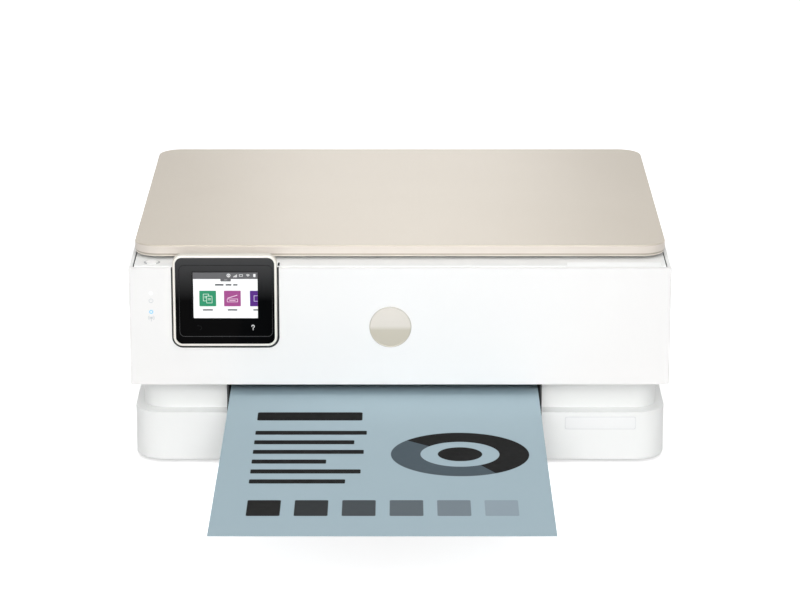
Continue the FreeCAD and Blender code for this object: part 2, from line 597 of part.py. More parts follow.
def draw_rounded(sketch, u, v, radius):
    """Draw a rectangle with round corners between two places on each axis."""
    low_u, high_u = number(u[0]), number(u[1])
    low_v, high_v = number(v[0]), number(v[1])
    bend = number(radius)
    first = sketch.GeometryCount
    lines = (
        (point(low_u + bend, low_v), point(high_u - bend, low_v)),
        (point(high_u, low_v + bend), point(high_u, high_v - bend)),
        (point(high_u - bend, high_v), point(low_u + bend, high_v)),
        (point(low_u, high_v - bend), point(low_u, low_v + bend)),
    )
    centres = (
        (point(high_u - bend, low_v + bend), -math.pi / 2),
        (point(high_u - bend, high_v - bend), 0),
        (point(low_u + bend, high_v - bend), math.pi / 2),
        (point(low_u + bend, low_v + bend), math.pi),
    )
    for start, end in lines:
        sketch.addGeometry(Part.LineSegment(start, end), False)
    for centre, angle in centres:
        circle = Part.Circle(centre, FreeCAD.Vector(0, 0, 1), bend)
        sketch.addGeometry(Part.ArcOfCircle(circle, angle, angle + math.pi / 2), False)
    bottom, right, top, left = range(first, first + 4)
    arcs = range(first + 4, first + 8)
    for index, line in enumerate((bottom, right, top, left)):
        after = first + (index + 1) % 4
        sketch.addConstraint(Sketcher.Constraint("Tangent", line, 2, arcs[index], 1))
        sketch.addConstraint(Sketcher.Constraint("Tangent", arcs[index], 2, after, 1))
    for line in (bottom, top):
        sketch.addConstraint(Sketcher.Constraint("Horizontal", line))
    for line in (right, left):
        sketch.addConstraint(Sketcher.Constraint("Vertical", line))
    for arc in arcs[1:]:
        sketch.addConstraint(Sketcher.Constraint("Equal", arcs[0], arc))
    dimension(sketch, Sketcher.Constraint("Radius", arcs[0], bend), f"corner{first}", radius)
    for line, kind, name, place, formula in (
        (left, "DistanceX", "left", low_u, u[0]),
        (right, "DistanceX", "right", high_u, u[1]),
        (bottom, "DistanceY", "low", low_v, v[0]),
        (top, "DistanceY", "high", high_v, v[1]),
    ):
        constraint = Sketcher.Constraint(kind, -1, 1, line, 1, place)
        dimension(sketch, constraint, f"{name}{first}", formula)


def draw_circle(sketch, u, v, radius):
    """Draw a circle around a place given as formulas."""
    centre = point(number(u), number(v))
    bend = number(radius)
    index = sketch.addGeometry(Part.Circle(centre, FreeCAD.Vector(0, 0, 1), bend), False)
    dimension(sketch, Sketcher.Constraint("Radius", index, bend), f"round{index}", radius)
    across = Sketcher.Constraint("DistanceX", -1, 1, index, 3, centre.x)
    dimension(sketch, across, f"u{index}", u)
    along = Sketcher.Constraint("DistanceY", -1, 1, index, 3, centre.y)
    dimension(sketch, along, f"v{index}", v)


def draw_loop(sketch, start, start_radius, end, end_radius):
    """Draw the path of a belt around two pulleys: two arcs and their two tangents."""
    begin_spot = point(number(start[0]), number(start[1]))
    end_spot = point(number(end[0]), number(end[1]))
    near_bend, far_bend = number(start_radius), number(end_radius)
    line = end_spot - begin_spot
    lean = math.asin((near_bend - far_bend) / line.Length)
    heading = math.atan2(line.y, line.x)
    upper = heading + math.pi / 2 - lean
    lower = heading - math.pi / 2 + lean
    first = sketch.GeometryCount
    spins = ((begin_spot, near_bend, upper, lower + 2 * math.pi), (end_spot, far_bend, lower, upper))
    for centre, bend, begin, finish in spins:
        circle = Part.Circle(centre, FreeCAD.Vector(0, 0, 1), bend)
        sketch.addGeometry(Part.ArcOfCircle(circle, begin, finish), False)
    for angle in (lower, upper):
        away = point(math.cos(angle), math.sin(angle))
        side = Part.LineSegment(begin_spot + away * near_bend, end_spot + away * far_bend)
        sketch.addGeometry(side, False)
    near_arc, far_arc, low_line, high_line = range(first, first + 4)
    for one, one_end, other, other_end in (
        (near_arc, 2, low_line, 1),
        (low_line, 2, far_arc, 1),
        (far_arc, 2, high_line, 2),
        (high_line, 1, near_arc, 1),
    ):
        sketch.addConstraint(Sketcher.Constraint("Tangent", one, one_end, other, other_end))
    for arc, centre, formulas, bend, radius in (
        (near_arc, begin_spot, start, near_bend, start_radius),
        (far_arc, end_spot, end, far_bend, end_radius),
    ):
        dimension(sketch, Sketcher.Constraint("Radius", arc, bend), f"round{arc}", radius)
        across = Sketcher.Constraint("DistanceX", -1, 1, arc, 3, centre.x)
        dimension(sketch, across, f"u{arc}", formulas[0])
        along = Sketcher.Constraint("DistanceY", -1, 1, arc, 3, centre.y)
        dimension(sketch, along, f"v{arc}", formulas[1])


def pad(body, sketch, length):
    """Raise a sketch along its plane's normal."""
    feature = body.newObject("PartDesign::Pad", f"{body.Name}_pad")
    feature.Profile = sketch
    bind(feature, Length=length)
    body.Tip = feature
    return feature


def pocket(body, sketch, depth):
    """Cut a sketch against its plane's normal."""
    feature = body.newObject("PartDesign::Pocket", f"{body.Name}_pocket")
    feature.Profile = sketch
    bind(feature, Length=depth)
    body.Tip = feature
    return feature


def round_edges(body, radius, wanted):
    """Round the edges of a body that pass a test."""
    doc.recompute()
    base = body.Tip
    names = [f"Edge{index}" for index, edge in enumerate(base.Shape.Edges, start=1) if wanted(edge)]
    feature = body.newObject("PartDesign::Fillet", f"{body.Name}_fillet")
    feature.Base = (base, names)
    bind(feature, Radius=radius)
    body.Tip = feature
    return feature


def near(value, target, slack=0.01):
    """Tell whether two lengths are equal."""
    return abs(value - target) < slack


def flat_at(edge, axis, place):
    """Tell whether a whole edge lies at one place on an axis."""
    bounds = edge.BoundBox
    low = getattr(bounds, f"{axis}Min")
    high = getattr(bounds, f"{axis}Max")
    return near(low, place) and near(high, place)


def plan_pad(body, x, y, z, radius=None):
    """Raise a plan outline between two heights."""
    sketch = sketch_on(body, "XY_Plane", z[0])
    if radius is None:
        draw_rectangle(sketch, x, y)
    else:
        draw_rounded(sketch, x, y, radius)
    return pad(body, sketch, f"({z[1]}) - ({z[0]})")


def plan_pocket(body, x, y, z, radius=None):
    """Cut a plan outline from the upper height down to the lower one."""
    sketch = sketch_on(body, "XY_Plane", z[1])
    if radius is None:
        draw_rectangle(sketch, x, y)
    else:
        draw_rounded(sketch, x, y, radius)
    return pocket(body, sketch, f"({z[1]}) - ({z[0]})")


def front_pad(body, x, z, y, radius=None):
    """Raise a front outline towards the front, between two depths."""
    sketch = sketch_on(body, "XZ_Plane", f"-({y[1]})")
    if radius is None:
        draw_rectangle(sketch, x, z)
    else:
        draw_rounded(sketch, x, z, radius)
    return pad(body, sketch, f"({y[1]}) - ({y[0]})")


def front_pocket(body, x, z, y, radius=None):
    """Cut a front outline backwards, between two depths."""
    sketch = sketch_on(body, "XZ_Plane", f"-({y[0]})")
    if radius is None:
        draw_rectangle(sketch, x, z)
    else:
        draw_rounded(sketch, x, z, radius)
    return pocket(body, sketch, f"({y[1]}) - ({y[0]})")


def side_pocket(body, x, corners):
    """Cut a side outline between two places across the printer."""
    sketch = sketch_on(body, "YZ_Plane", x[1])
    draw_outline(sketch, corners)
    return pocket(body, sketch, f"({x[1]}) - ({x[0]})")


def side_bore(body, x, y, z, radius):
    """Cut a round bore along X."""
    sketch = sketch_on(body, "YZ_Plane", x[1])
    draw_circle(sketch, y, z, radius)
    return pocket(body, sketch, f"({x[1]}) - ({x[0]})")


def both_ways(half):
    """Return a span that is centred on the middle plane."""
    return (f"-({half})", half)


def around(centre, half):
    """Return a span around a centre."""
    return (f"({centre}) - ({half})", f"({centre}) + ({half})")


def make_base():
    """Make the base housing with its rim, neck, slot and socket openings, and its feet."""
    body = new_body("base_housing")
    plan_pad(body, both_ways("base_half"), ("base_front", "base_rear"), ("foot_height", "base_top"),
             "base_corner")
    plan_pad(body, both_ways("neck_half"), ("neck_front", "neck_rear"), ("base_top", "shell_bottom"),
             "neck_corner")
    plan_pocket(body, both_ways("neck_inner"), ("neck_front + base_wall", "neck_rear - base_wall"),
                ("floor_top", "shell_bottom"), "neck_corner - base_wall")
    plan_pocket(body, both_ways("base_half - base_wall"),
                ("base_front + base_wall", "base_rear - base_wall"),
                ("floor_top", "base_top - base_wall"), "base_corner - base_wall")
    front_pocket(body, ("slot_left", "slot_right"), ("floor_top", "shell_bottom"),
                 (f"base_front - {BEYOND}", "neck_front + base_wall"))
    front_pocket(body, around("inlet_x", "inlet_width / 2"), around("inlet_z", "inlet_height / 2"),
                 ("inner_rear", f"base_rear + {BEYOND}"))
    front_pocket(body, around("usb_x", "usb_width / 2"), ("board_top", "board_top + usb_height"),
                 ("inner_rear", f"base_rear + {BEYOND}"))
    round_edges(body, "base_edge",
                lambda edge: flat_at(edge, "Z", number("foot_height")) and on_base_outline(edge))
    feet = []
    for name, across in SIDES:
        for end, place in (("front", "base_front + foot_inset"), ("rear", "base_rear - foot_inset")):
            feet.append(rod(f"foot_{name}_{end}", "z", ("0", "foot_height"),
                            (f"{across} * (base_half - foot_inset)", place), "foot_radius"))
    keep("rubber_feet", together("rubber_feet", *feet))


def on_base_outline(edge):
    """Tell whether an edge belongs to the base's outer outline, not to an opening."""
    reach = edge.BoundBox
    inside = number("base_half - base_corner - base_wall")
    wide = reach.XMax > inside or reach.XMin < -inside
    return wide or near(reach.YMin, number("base_front")) or near(reach.YMax, number("base_rear"))


def make_shell():
    """Make the side and rear walls, the front wall, the lights and the slot lining."""
    body = new_body("body_shell")
    plan_pad(body, both_ways("half_width"), ("wall_back", "rear_y"), ("shell_bottom", "body_top"))
    round_edges(body, "shell_corner",
                lambda edge: flat_at(edge, "Y", number("rear_y")) and edge.BoundBox.ZLength > 1)
    plan_pocket(body, both_ways("inner_half"), (f"wall_back - {BEYOND}", "rear_y - shell_wall"),
                ("shell_bottom + shell_floor", "body_top"))
    plan_pocket(body, both_ways("neck_inner"), ("neck_front + base_wall", "neck_rear - base_wall"),
                ("shell_bottom", "shell_bottom + shell_floor"))
    front_pocket(body, both_ways("inner_half - shell_corner"), ("module_bottom - module_gap", "body_top"),
                 ("rear_y - shell_wall", f"rear_y + {BEYOND}"))
    front_pocket(body, both_ways("inner_half"), ("module_bottom - module_gap", "body_top"),
                 ("rear_y - shell_corner", f"rear_y + {BEYOND}"))
    front_pocket(body, around("path_x", "door_width / 2 + door_gap"), ("door_low", "door_high"),
                 ("rear_y - shell_wall", f"rear_y + {BEYOND}"))
    side_bore(body, around("path_x", "door_width / 2 + door_gap + door_pin_length"),
              "door_axis_y", "door_axis_z", "door_pin_radius + running_gap")

    wall = new_body("front_panel")
    front_pad(wall, both_ways("half_width"), ("shell_bottom", "body_top"), ("front_y", "wall_back"))
    round_edges(wall, "front_edge",
                lambda edge: flat_at(edge, "Y", number("front_y")) and edge.BoundBox.ZLength > 1)
    front_pocket(wall, around("panel_x", "notch_half"), ("notch_low", "panel_top + panel_corner"),
                 (f"front_y - {BEYOND}", "wall_back"), "notch_corner")
    for height in ("power_light_height", "wireless_light_height"):
        sketch = sketch_on(wall, "XZ_Plane", f"{BEYOND} - front_y")
        draw_circle(sketch, "light_x", height, "light_radius")
        pocket(wall, sketch, f"front_wall + {BEYOND}")

    lights = []
    for name in ("power_light", "wireless_light"):
        lights.append(rod(name, "y", ("front_y", "wall_back"), ("light_x", f"{name}_height"),
                          "light_radius"))
    keep("status_lights", together("status_lights", *lights))

    outside = box("bay_outside", ("slot_left", "slot_right"), ("bay_front", "bay_rear"),
                  ("floor_top", "shell_bottom"))
    inside = box("bay_inside", ("slot_left + bay_wall", "slot_right - bay_wall"),
                 (f"bay_front - {BEYOND}", f"bay_rear + {BEYOND}"),
                 (f"floor_top - {BEYOND}", "shell_bottom - bay_wall"))
    keep("output_bay", less("output_bay", outside, inside))


def make_rear():
    """Make the rear door, the power inlet and the data socket."""
    low = ("path_x", "door_width / 2")
    leaf = box("door_leaf", around(*low), ("rear_y - shell_wall", "rear_y"),
               ("door_axis_z", "door_high - door_gap"))
    roll = rod("door_roll", "x", around(*low), ("door_axis_y", "door_axis_z"), "shell_wall / 2")
    pin = rod("door_pin", "x", around("path_x", "door_width / 2 + door_gap + door_pin_length / 2"),
              ("door_axis_y", "door_axis_z"), "door_pin_radius")
    ribs = []
    for index in range(-2, 3):
        middle = f"path_x + {index} * door_guide_pitch"
        ribs.append(box(f"door_rib_{index + 2}", around(middle, "door_guide_width / 2"),
                        ("rear_y - shell_wall - door_guide_depth", "rear_y - shell_wall"),
                        ("door_axis_z + door_guide_depth", "door_high - door_guide_depth / 2")))
    keep("rear_access_door", joined("rear_access_door", leaf, roll, pin, *ribs))

    block = box("inlet_block", around("inlet_x", "inlet_width / 2"),
                ("supply_rear", "base_rear + flange_proud"), around("inlet_z", "inlet_height / 2"))
    bores = []
    pins = []
    for name, across in SIDES:
        line = f"inlet_x + {across} * inlet_pitch / 2"
        span = ("base_rear + flange_proud - inlet_reach", f"base_rear + {BEYOND}")
        bores.append(rod(f"inlet_bore_{name}", "y", span, (line, "inlet_z"), "inlet_bore"))
        length = ("base_rear + flange_proud - inlet_reach - 1", "base_rear")
        pins.append(rod(f"inlet_pin_{name}", "y", length, (line, "inlet_z"), "inlet_pin"))
    bridge = box("inlet_bridge", around("inlet_x", "inlet_pitch / 2"),
                 ("base_rear + flange_proud - inlet_reach", f"base_rear + {BEYOND}"),
                 around("inlet_z", "inlet_bore"))
    keep("power_inlet", joined("power_inlet", less("inlet_hollow", block, bridge, *bores), *pins))

    case = box("usb_case", around("usb_x", "usb_width / 2"),
               ("base_rear + flange_proud - usb_depth", "base_rear + flange_proud"),
               ("board_top", "board_top + usb_height"))
    hole = box("usb_hole", around("usb_x", "usb_width / 2 - usb_wall"),
               ("base_rear + flange_proud - usb_depth + 2 * usb_wall", f"base_rear + {BEYOND}"),
               ("board_top + usb_wall", "board_top + usb_height - usb_wall"))
    tongue = box("usb_tongue_block", around("usb_x", "usb_width / 2 - usb_tongue"),
                 ("base_rear + flange_proud - usb_depth + usb_wall",
                  "base_rear + flange_proud - usb_mouth"),
                 around("board_top + usb_height / 2", "usb_tongue / 2"))
    keep("usb_port", joined("usb_port", less("usb_shell", case, hole), tongue))


def make_scanner():
    """Make the scanner module: frame, tub, glass, scan bar, hinges and power button."""
    frame = new_body("scanner_top_frame")
    plan_pad(frame, both_ways("module_half"), ("module_front", "module_rear"),
             ("frame_bottom", "module_top"))
    round_edges(frame, "ledge_edge", lambda edge: flat_at(edge, "Z", number("module_top"))
                and flat_at(edge, "Y", number("module_front")))
    plan_pocket(frame, both_ways("glass_length / 2 + touch_gap"),
                ("glass_front - touch_gap", "glass_rear + touch_gap"), ("glass_bottom", "module_top"))
    plan_pocket(frame, both_ways("glass_length / 2 - glass_lip"),
                ("glass_front + glass_lip", "glass_rear - glass_lip"), ("frame_bottom", "glass_bottom"))
    side_pocket(frame, ("scoop_right - scoop_width", "scoop_right"), (
        (f"module_front - {BEYOND}", "module_top - scoop_drop"),
        ("module_front", "module_top - scoop_drop"),
        ("module_front + scoop_reach", "module_top"),
        ("module_front + scoop_reach", f"module_top + {BEYOND}"),
        (f"module_front - {BEYOND}", f"module_top + {BEYOND}"),
    ))
    seat = sketch_on(frame, "XY_Plane", "module_top")
    draw_circle(seat, "button_x", "front_y + button_back", "button_radius + button_gap")
    pocket(frame, seat, "frame_height")

    tub = new_body("scanner_base")
    plan_pad(tub, both_ways("module_half"), ("module_front", "module_rear"),
             ("module_bottom", "frame_bottom"))
    plan_pocket(tub, both_ways("module_half - module_wall"),
                ("module_front + module_wall", "module_rear - module_wall"),
                ("module_bottom + module_wall", "frame_bottom"))
    block_half = "module_hinge_width / 2 + hinge_side_gap + pin_engage + module_wall"
    for name, across in SIDES:
        plan_pad(tub, around(f"{across} * module_hinge_span", block_half),
                 ("module_axis_y - 2 * module_ear_radius - module_wall", "module_rear"),
                 ("module_bottom", "module_axis_z + 2 * module_ear_radius"))
    side_pocket(tub, both_ways(f"module_half + {BEYOND}"), (
        ("module_rear - module_rear_bevel", "module_bottom"),
        ("module_rear - module_rear_bevel", f"module_bottom - {BEYOND}"),
        (f"module_rear + {BEYOND}", f"module_bottom - {BEYOND}"),
        (f"module_rear + {BEYOND}", "module_bottom + module_rear_bevel"),
        ("module_rear", "module_bottom + module_rear_bevel"),
    ))
    ear_half = "module_hinge_width / 2 + hinge_side_gap"
    for name, across in SIDES:
        middle = f"{across} * module_hinge_span"
        plan_pocket(tub, around(middle, ear_half),
                    ("module_axis_y - 1.6 * module_ear_radius", f"module_rear + {BEYOND}"),
                    (f"module_bottom - {BEYOND}", "module_axis_z + 1.6 * module_ear_radius"))
        side_bore(tub, around(middle, f"{ear_half} + pin_engage + hinge_side_gap"),
                  "module_axis_y", "module_axis_z", "module_pin_radius + running_gap")

    keep("scanner_glass", box("scanner_glass", both_ways("glass_length / 2"),
                              ("glass_front", "glass_rear"), ("glass_bottom", "glass_top")))

    bar_y = ("glass_front + 2 * glass_lip", "glass_rear - 2 * glass_lip")
    bar_left = "-(glass_length / 2 - 2 * glass_lip)"
    bar_top = "glass_bottom - glass_drop - running_gap"
    bar_x = (bar_left, f"{bar_left} + scan_bar_width")
    rod_height = f"{bar_top} - scan_bar_height - scan_rod_radius"
    head = box("scan_head", bar_x, bar_y, (f"{bar_top} - scan_bar_height", bar_top))
    shoe = box("scan_shoe", bar_x, around("glass_middle", "2 * scan_rod_radius"),
               (f"{rod_height} - 2 * scan_rod_radius", f"{bar_top} - scan_bar_height"))
    bore = rod("scan_bore", "x", (f"{bar_left} - {BEYOND}", f"{bar_left} + scan_bar_width + {BEYOND}"),
               ("glass_middle", rod_height), "scan_rod_radius + running_gap")
    keep("scan_bar", less("scan_bar", joined("scan_bar_solid", head, shoe), bore))
    keep("scan_rod", rod("scan_rod", "x", both_ways("module_half - module_wall"),
                         ("glass_middle", rod_height), "scan_rod_radius"))

    brackets = []
    for name, across in SIDES:
        middle = f"{across} * module_hinge_span"
        width = around(middle, "module_hinge_width / 2")
        post = box(f"module_post_{name}", width,
                   ("module_axis_y - module_ear_radius", "rear_y - shell_wall"),
                   ("shell_bottom + shell_floor", "module_bottom - module_gap"))
        neck = box(f"module_neck_{name}", width, around("module_axis_y", "module_ear_radius"),
                   ("module_bottom - module_gap - 1", "module_axis_z"))
        ear = rod(f"module_ear_{name}", "x", width, ("module_axis_y", "module_axis_z"),
                  "module_ear_radius")
        pin = rod(f"module_pin_{name}", "x",
                  around(middle, "module_hinge_width / 2 + hinge_side_gap + pin_engage"),
                  ("module_axis_y", "module_axis_z"), "module_pin_radius")
        brackets.append(joined(f"module_bracket_{name}", post, neck, ear, pin))
    keep("module_hinge_brackets", together("module_hinge_brackets", *brackets))

    button = new_body("power_button")
    face = sketch_on(button, "XY_Plane", "module_top + button_proud - button_height")
    draw_circle(face, "button_x", "front_y + button_back", "button_radius")
    pad(button, face, "button_height")
    round_edges(button, "button_edge",
                lambda edge: flat_at(edge, "Z", number("module_top + button_proud")))


def make_lid():
    """Make the lid with its inner panel, backing pad and hinge brackets."""
    lid = new_body("scanner_lid")
    plan_pad(lid, both_ways("lid_half"), ("lid_front", "lid_rear"),
             ("lid_bottom + lip_height", "lid_top"), "lid_corner")
    round_edges(lid, "lid_edge", lambda edge: flat_at(edge, "Z", number("lid_top")))
    plan_pad(lid, both_ways("lid_half - lip_inset"), ("lid_front + lip_inset", "lid_rear - lip_inset"),
             ("lid_bottom", "lid_bottom + lip_height"), "lid_corner - lip_inset")
    inset = "(lip_inset + lid_wall)"
    sketch = sketch_on(lid, "XY_Plane", "lid_roof")
    draw_rounded(sketch, both_ways(f"lid_half - {inset}"),
                 (f"lid_front + {inset}", f"lid_rear - {inset}"), f"lid_corner - {inset}")
    pocket(lid, sketch, "lid_roof - lid_bottom")
    ear_half = "lid_hinge_width / 2 + hinge_side_gap"
    for name, across in SIDES:
        middle = f"{across} * lid_hinge_span"
        plan_pad(lid, around(middle, f"{ear_half} + pin_engage + lid_wall"),
                 ("lid_axis_y - 3 * lid_ear_radius", f"lid_rear - {inset}"),
                 ("lid_bottom", "lid_roof"))
    for name, across in SIDES:
        middle = f"{across} * lid_hinge_span"
        plan_pocket(lid, around(middle, ear_half),
                    ("lid_axis_y - 2 * lid_ear_radius", f"lid_rear + {BEYOND}"),
                    (f"lid_bottom - {BEYOND}", "lid_roof"))
        side_bore(lid, around(middle, f"{ear_half} + pin_engage + hinge_side_gap"),
                  "lid_axis_y", "lid_axis_z", "lid_pin_radius + running_gap")

    liner = new_body("lid_inner_panel")
    edge = "(lip_inset + lid_wall + liner_gap)"
    liner_rear = "lid_axis_y - 3 * lid_ear_radius - liner_gap"
    plan_pad(liner, both_ways(f"lid_half - {edge}"), (f"lid_front + {edge}", liner_rear),
             ("lid_bottom + liner_sink", "lid_roof"), f"lid_corner - {edge}")
    plan_pocket(liner, both_ways(f"lid_half - {edge} - liner_thick"),
                (f"lid_front + {edge} + liner_thick", f"{liner_rear} - liner_thick"),
                ("lid_bottom + liner_sink + liner_thick", "lid_roof"),
                f"lid_corner - {edge} - liner_thick")

    keep("lid_pad", box("lid_pad", both_ways("glass_length / 2 - pad_margin"),
                        ("glass_front + pad_margin", "glass_rear - pad_margin"),
                        ("glass_top + pad_gap", "lid_bottom + liner_sink")))

    brackets = []
    for name, across in SIDES:
        middle = f"{across} * lid_hinge_span"
        width = around(middle, "lid_hinge_width / 2")
        post = box(f"lid_post_{name}", width, around("lid_axis_y", "lid_ear_radius"),
                   ("module_top", "lid_axis_z"))
        ear = rod(f"lid_ear_{name}", "x", width, ("lid_axis_y", "lid_axis_z"), "lid_ear_radius")
        pin = rod(f"lid_pin_{name}", "x", around(middle, f"{ear_half} + pin_engage"),
                  ("lid_axis_y", "lid_axis_z"), "lid_pin_radius")
        brackets.append(joined(f"lid_bracket_{name}", post, ear, pin))
    keep("lid_hinge_brackets", together("lid_hinge_brackets", *brackets))


def make_control_panel():
    """Make the tilting control panel and the bracket that carries it."""
    housing = new_body("panel_housing")
    front_pad(housing, around("panel_x", "panel_width / 2"), ("panel_low", "panel_top"),
              ("panel_face", "panel_rear"), "panel_corner")
    round_edges(housing, "panel_edge", lambda edge: flat_at(edge, "Y", number("panel_face"))
                or flat_at(edge, "Y", number("panel_rear")))
    touch_x = around("panel_x", "panel_width / 2 - panel_rim")
    touch_z = ("panel_low + panel_rim", "panel_top - panel_rim")
    front_pocket(housing, touch_x, touch_z, (f"panel_face - {BEYOND}", "touch_back"),
                 "panel_corner - panel_rim")
    front_pocket(housing, around("panel_x", "display_width / 2 + touch_gap"),
                 around("display_z", "display_height / 2 + touch_gap"),
                 (f"panel_face - {BEYOND}", "display_back"))
    bay_half = "tilt_ear_width / 2 + hinge_side_gap"
    for name, across in SIDES:
        middle = f"panel_x + {across} * tilt_ear_span"
        front_pocket(housing, around(middle, bay_half),
                     ("tilt_axis_z - tilt_ear_length - 2 * hinge_side_gap",
                      "tilt_axis_z + tilt_ear_radius + hinge_side_gap"),
                     ("tilt_axis_y - tilt_ear_radius - 2 * hinge_side_gap", f"panel_rear + {BEYOND}"))
        side_bore(housing, around(middle, f"{bay_half} + tilt_pin_engage"),
                  "tilt_axis_y", "tilt_axis_z", "tilt_pin_radius")

    glass = new_body("touch_glass")
    gap_x = around("panel_x", "panel_width / 2 - panel_rim - touch_gap")
    gap_z = ("panel_low + panel_rim + touch_gap", "panel_top - panel_rim - touch_gap")
    front_pad(glass, gap_x, gap_z, ("touch_face", "touch_back"), "panel_corner - panel_rim - touch_gap")
    front_pocket(glass, around("panel_x", "display_width / 2 + touch_gap"),
                 around("display_z", "display_height / 2 + touch_gap"),
                 (f"panel_face - {BEYOND}", "touch_back"))

    keep("display", box("display", around("panel_x", "display_width / 2"),
                        ("touch_face", "display_back"), around("display_z", "display_height / 2")))

    bracket = new_body("panel_bracket")
    front_pad(bracket, around("panel_x", "notch_half"), ("notch_low", "panel_top + panel_corner"),
              ("front_y + lining_back", "wall_back"), "notch_corner")
    front_pocket(bracket, around("panel_x", "panel_width / 2 + panel_gap"),
                 ("panel_low - panel_gap", "panel_top + 2 * panel_corner"),
                 (f"front_y - {BEYOND}", "wall_back - bracket_thick"), "panel_corner + panel_gap")
    front_pocket(bracket, around("panel_x", f"notch_half + {BEYOND}"),
                 ("body_top", "panel_top + 2 * panel_corner"),
                 (f"front_y - {BEYOND}", f"wall_back + {BEYOND}"))
    for name, across in SIDES:
        middle = f"panel_x + {across} * tilt_ear_span"
        width = around(middle, "tilt_ear_width / 2")
        front_pad(bracket, width, ("tilt_axis_z - tilt_ear_length", "body_top"), ("tilt_axis_y", "wall_back"))
        front_pad(bracket, width, ("tilt_axis_z - tilt_ear_length", "tilt_axis_z"),
                  around("tilt_axis_y", "tilt_ear_radius"))
        sketch = sketch_on(bracket, "YZ_Plane", width[0])
        draw_circle(sketch, "tilt_axis_y", "tilt_axis_z", "tilt_ear_radius")
        pad(bracket, sketch, "tilt_ear_width")
        side_bore(bracket, around(middle, f"tilt_ear_width / 2 + {BEYOND}"),
                  "tilt_axis_y", "tilt_axis_z", "tilt_pin_radius + running_gap")

    pins = []
    for name, across in SIDES:
        middle = f"panel_x + {across} * tilt_ear_span"
        pins.append(rod(f"tilt_pin_{name}", "x", around(middle, f"{bay_half} + tilt_pin_engage"),
                        ("tilt_axis_y", "tilt_axis_z"), "tilt_pin_radius"))
    keep("panel_hinge_pins", together("panel_hinge_pins", *pins))


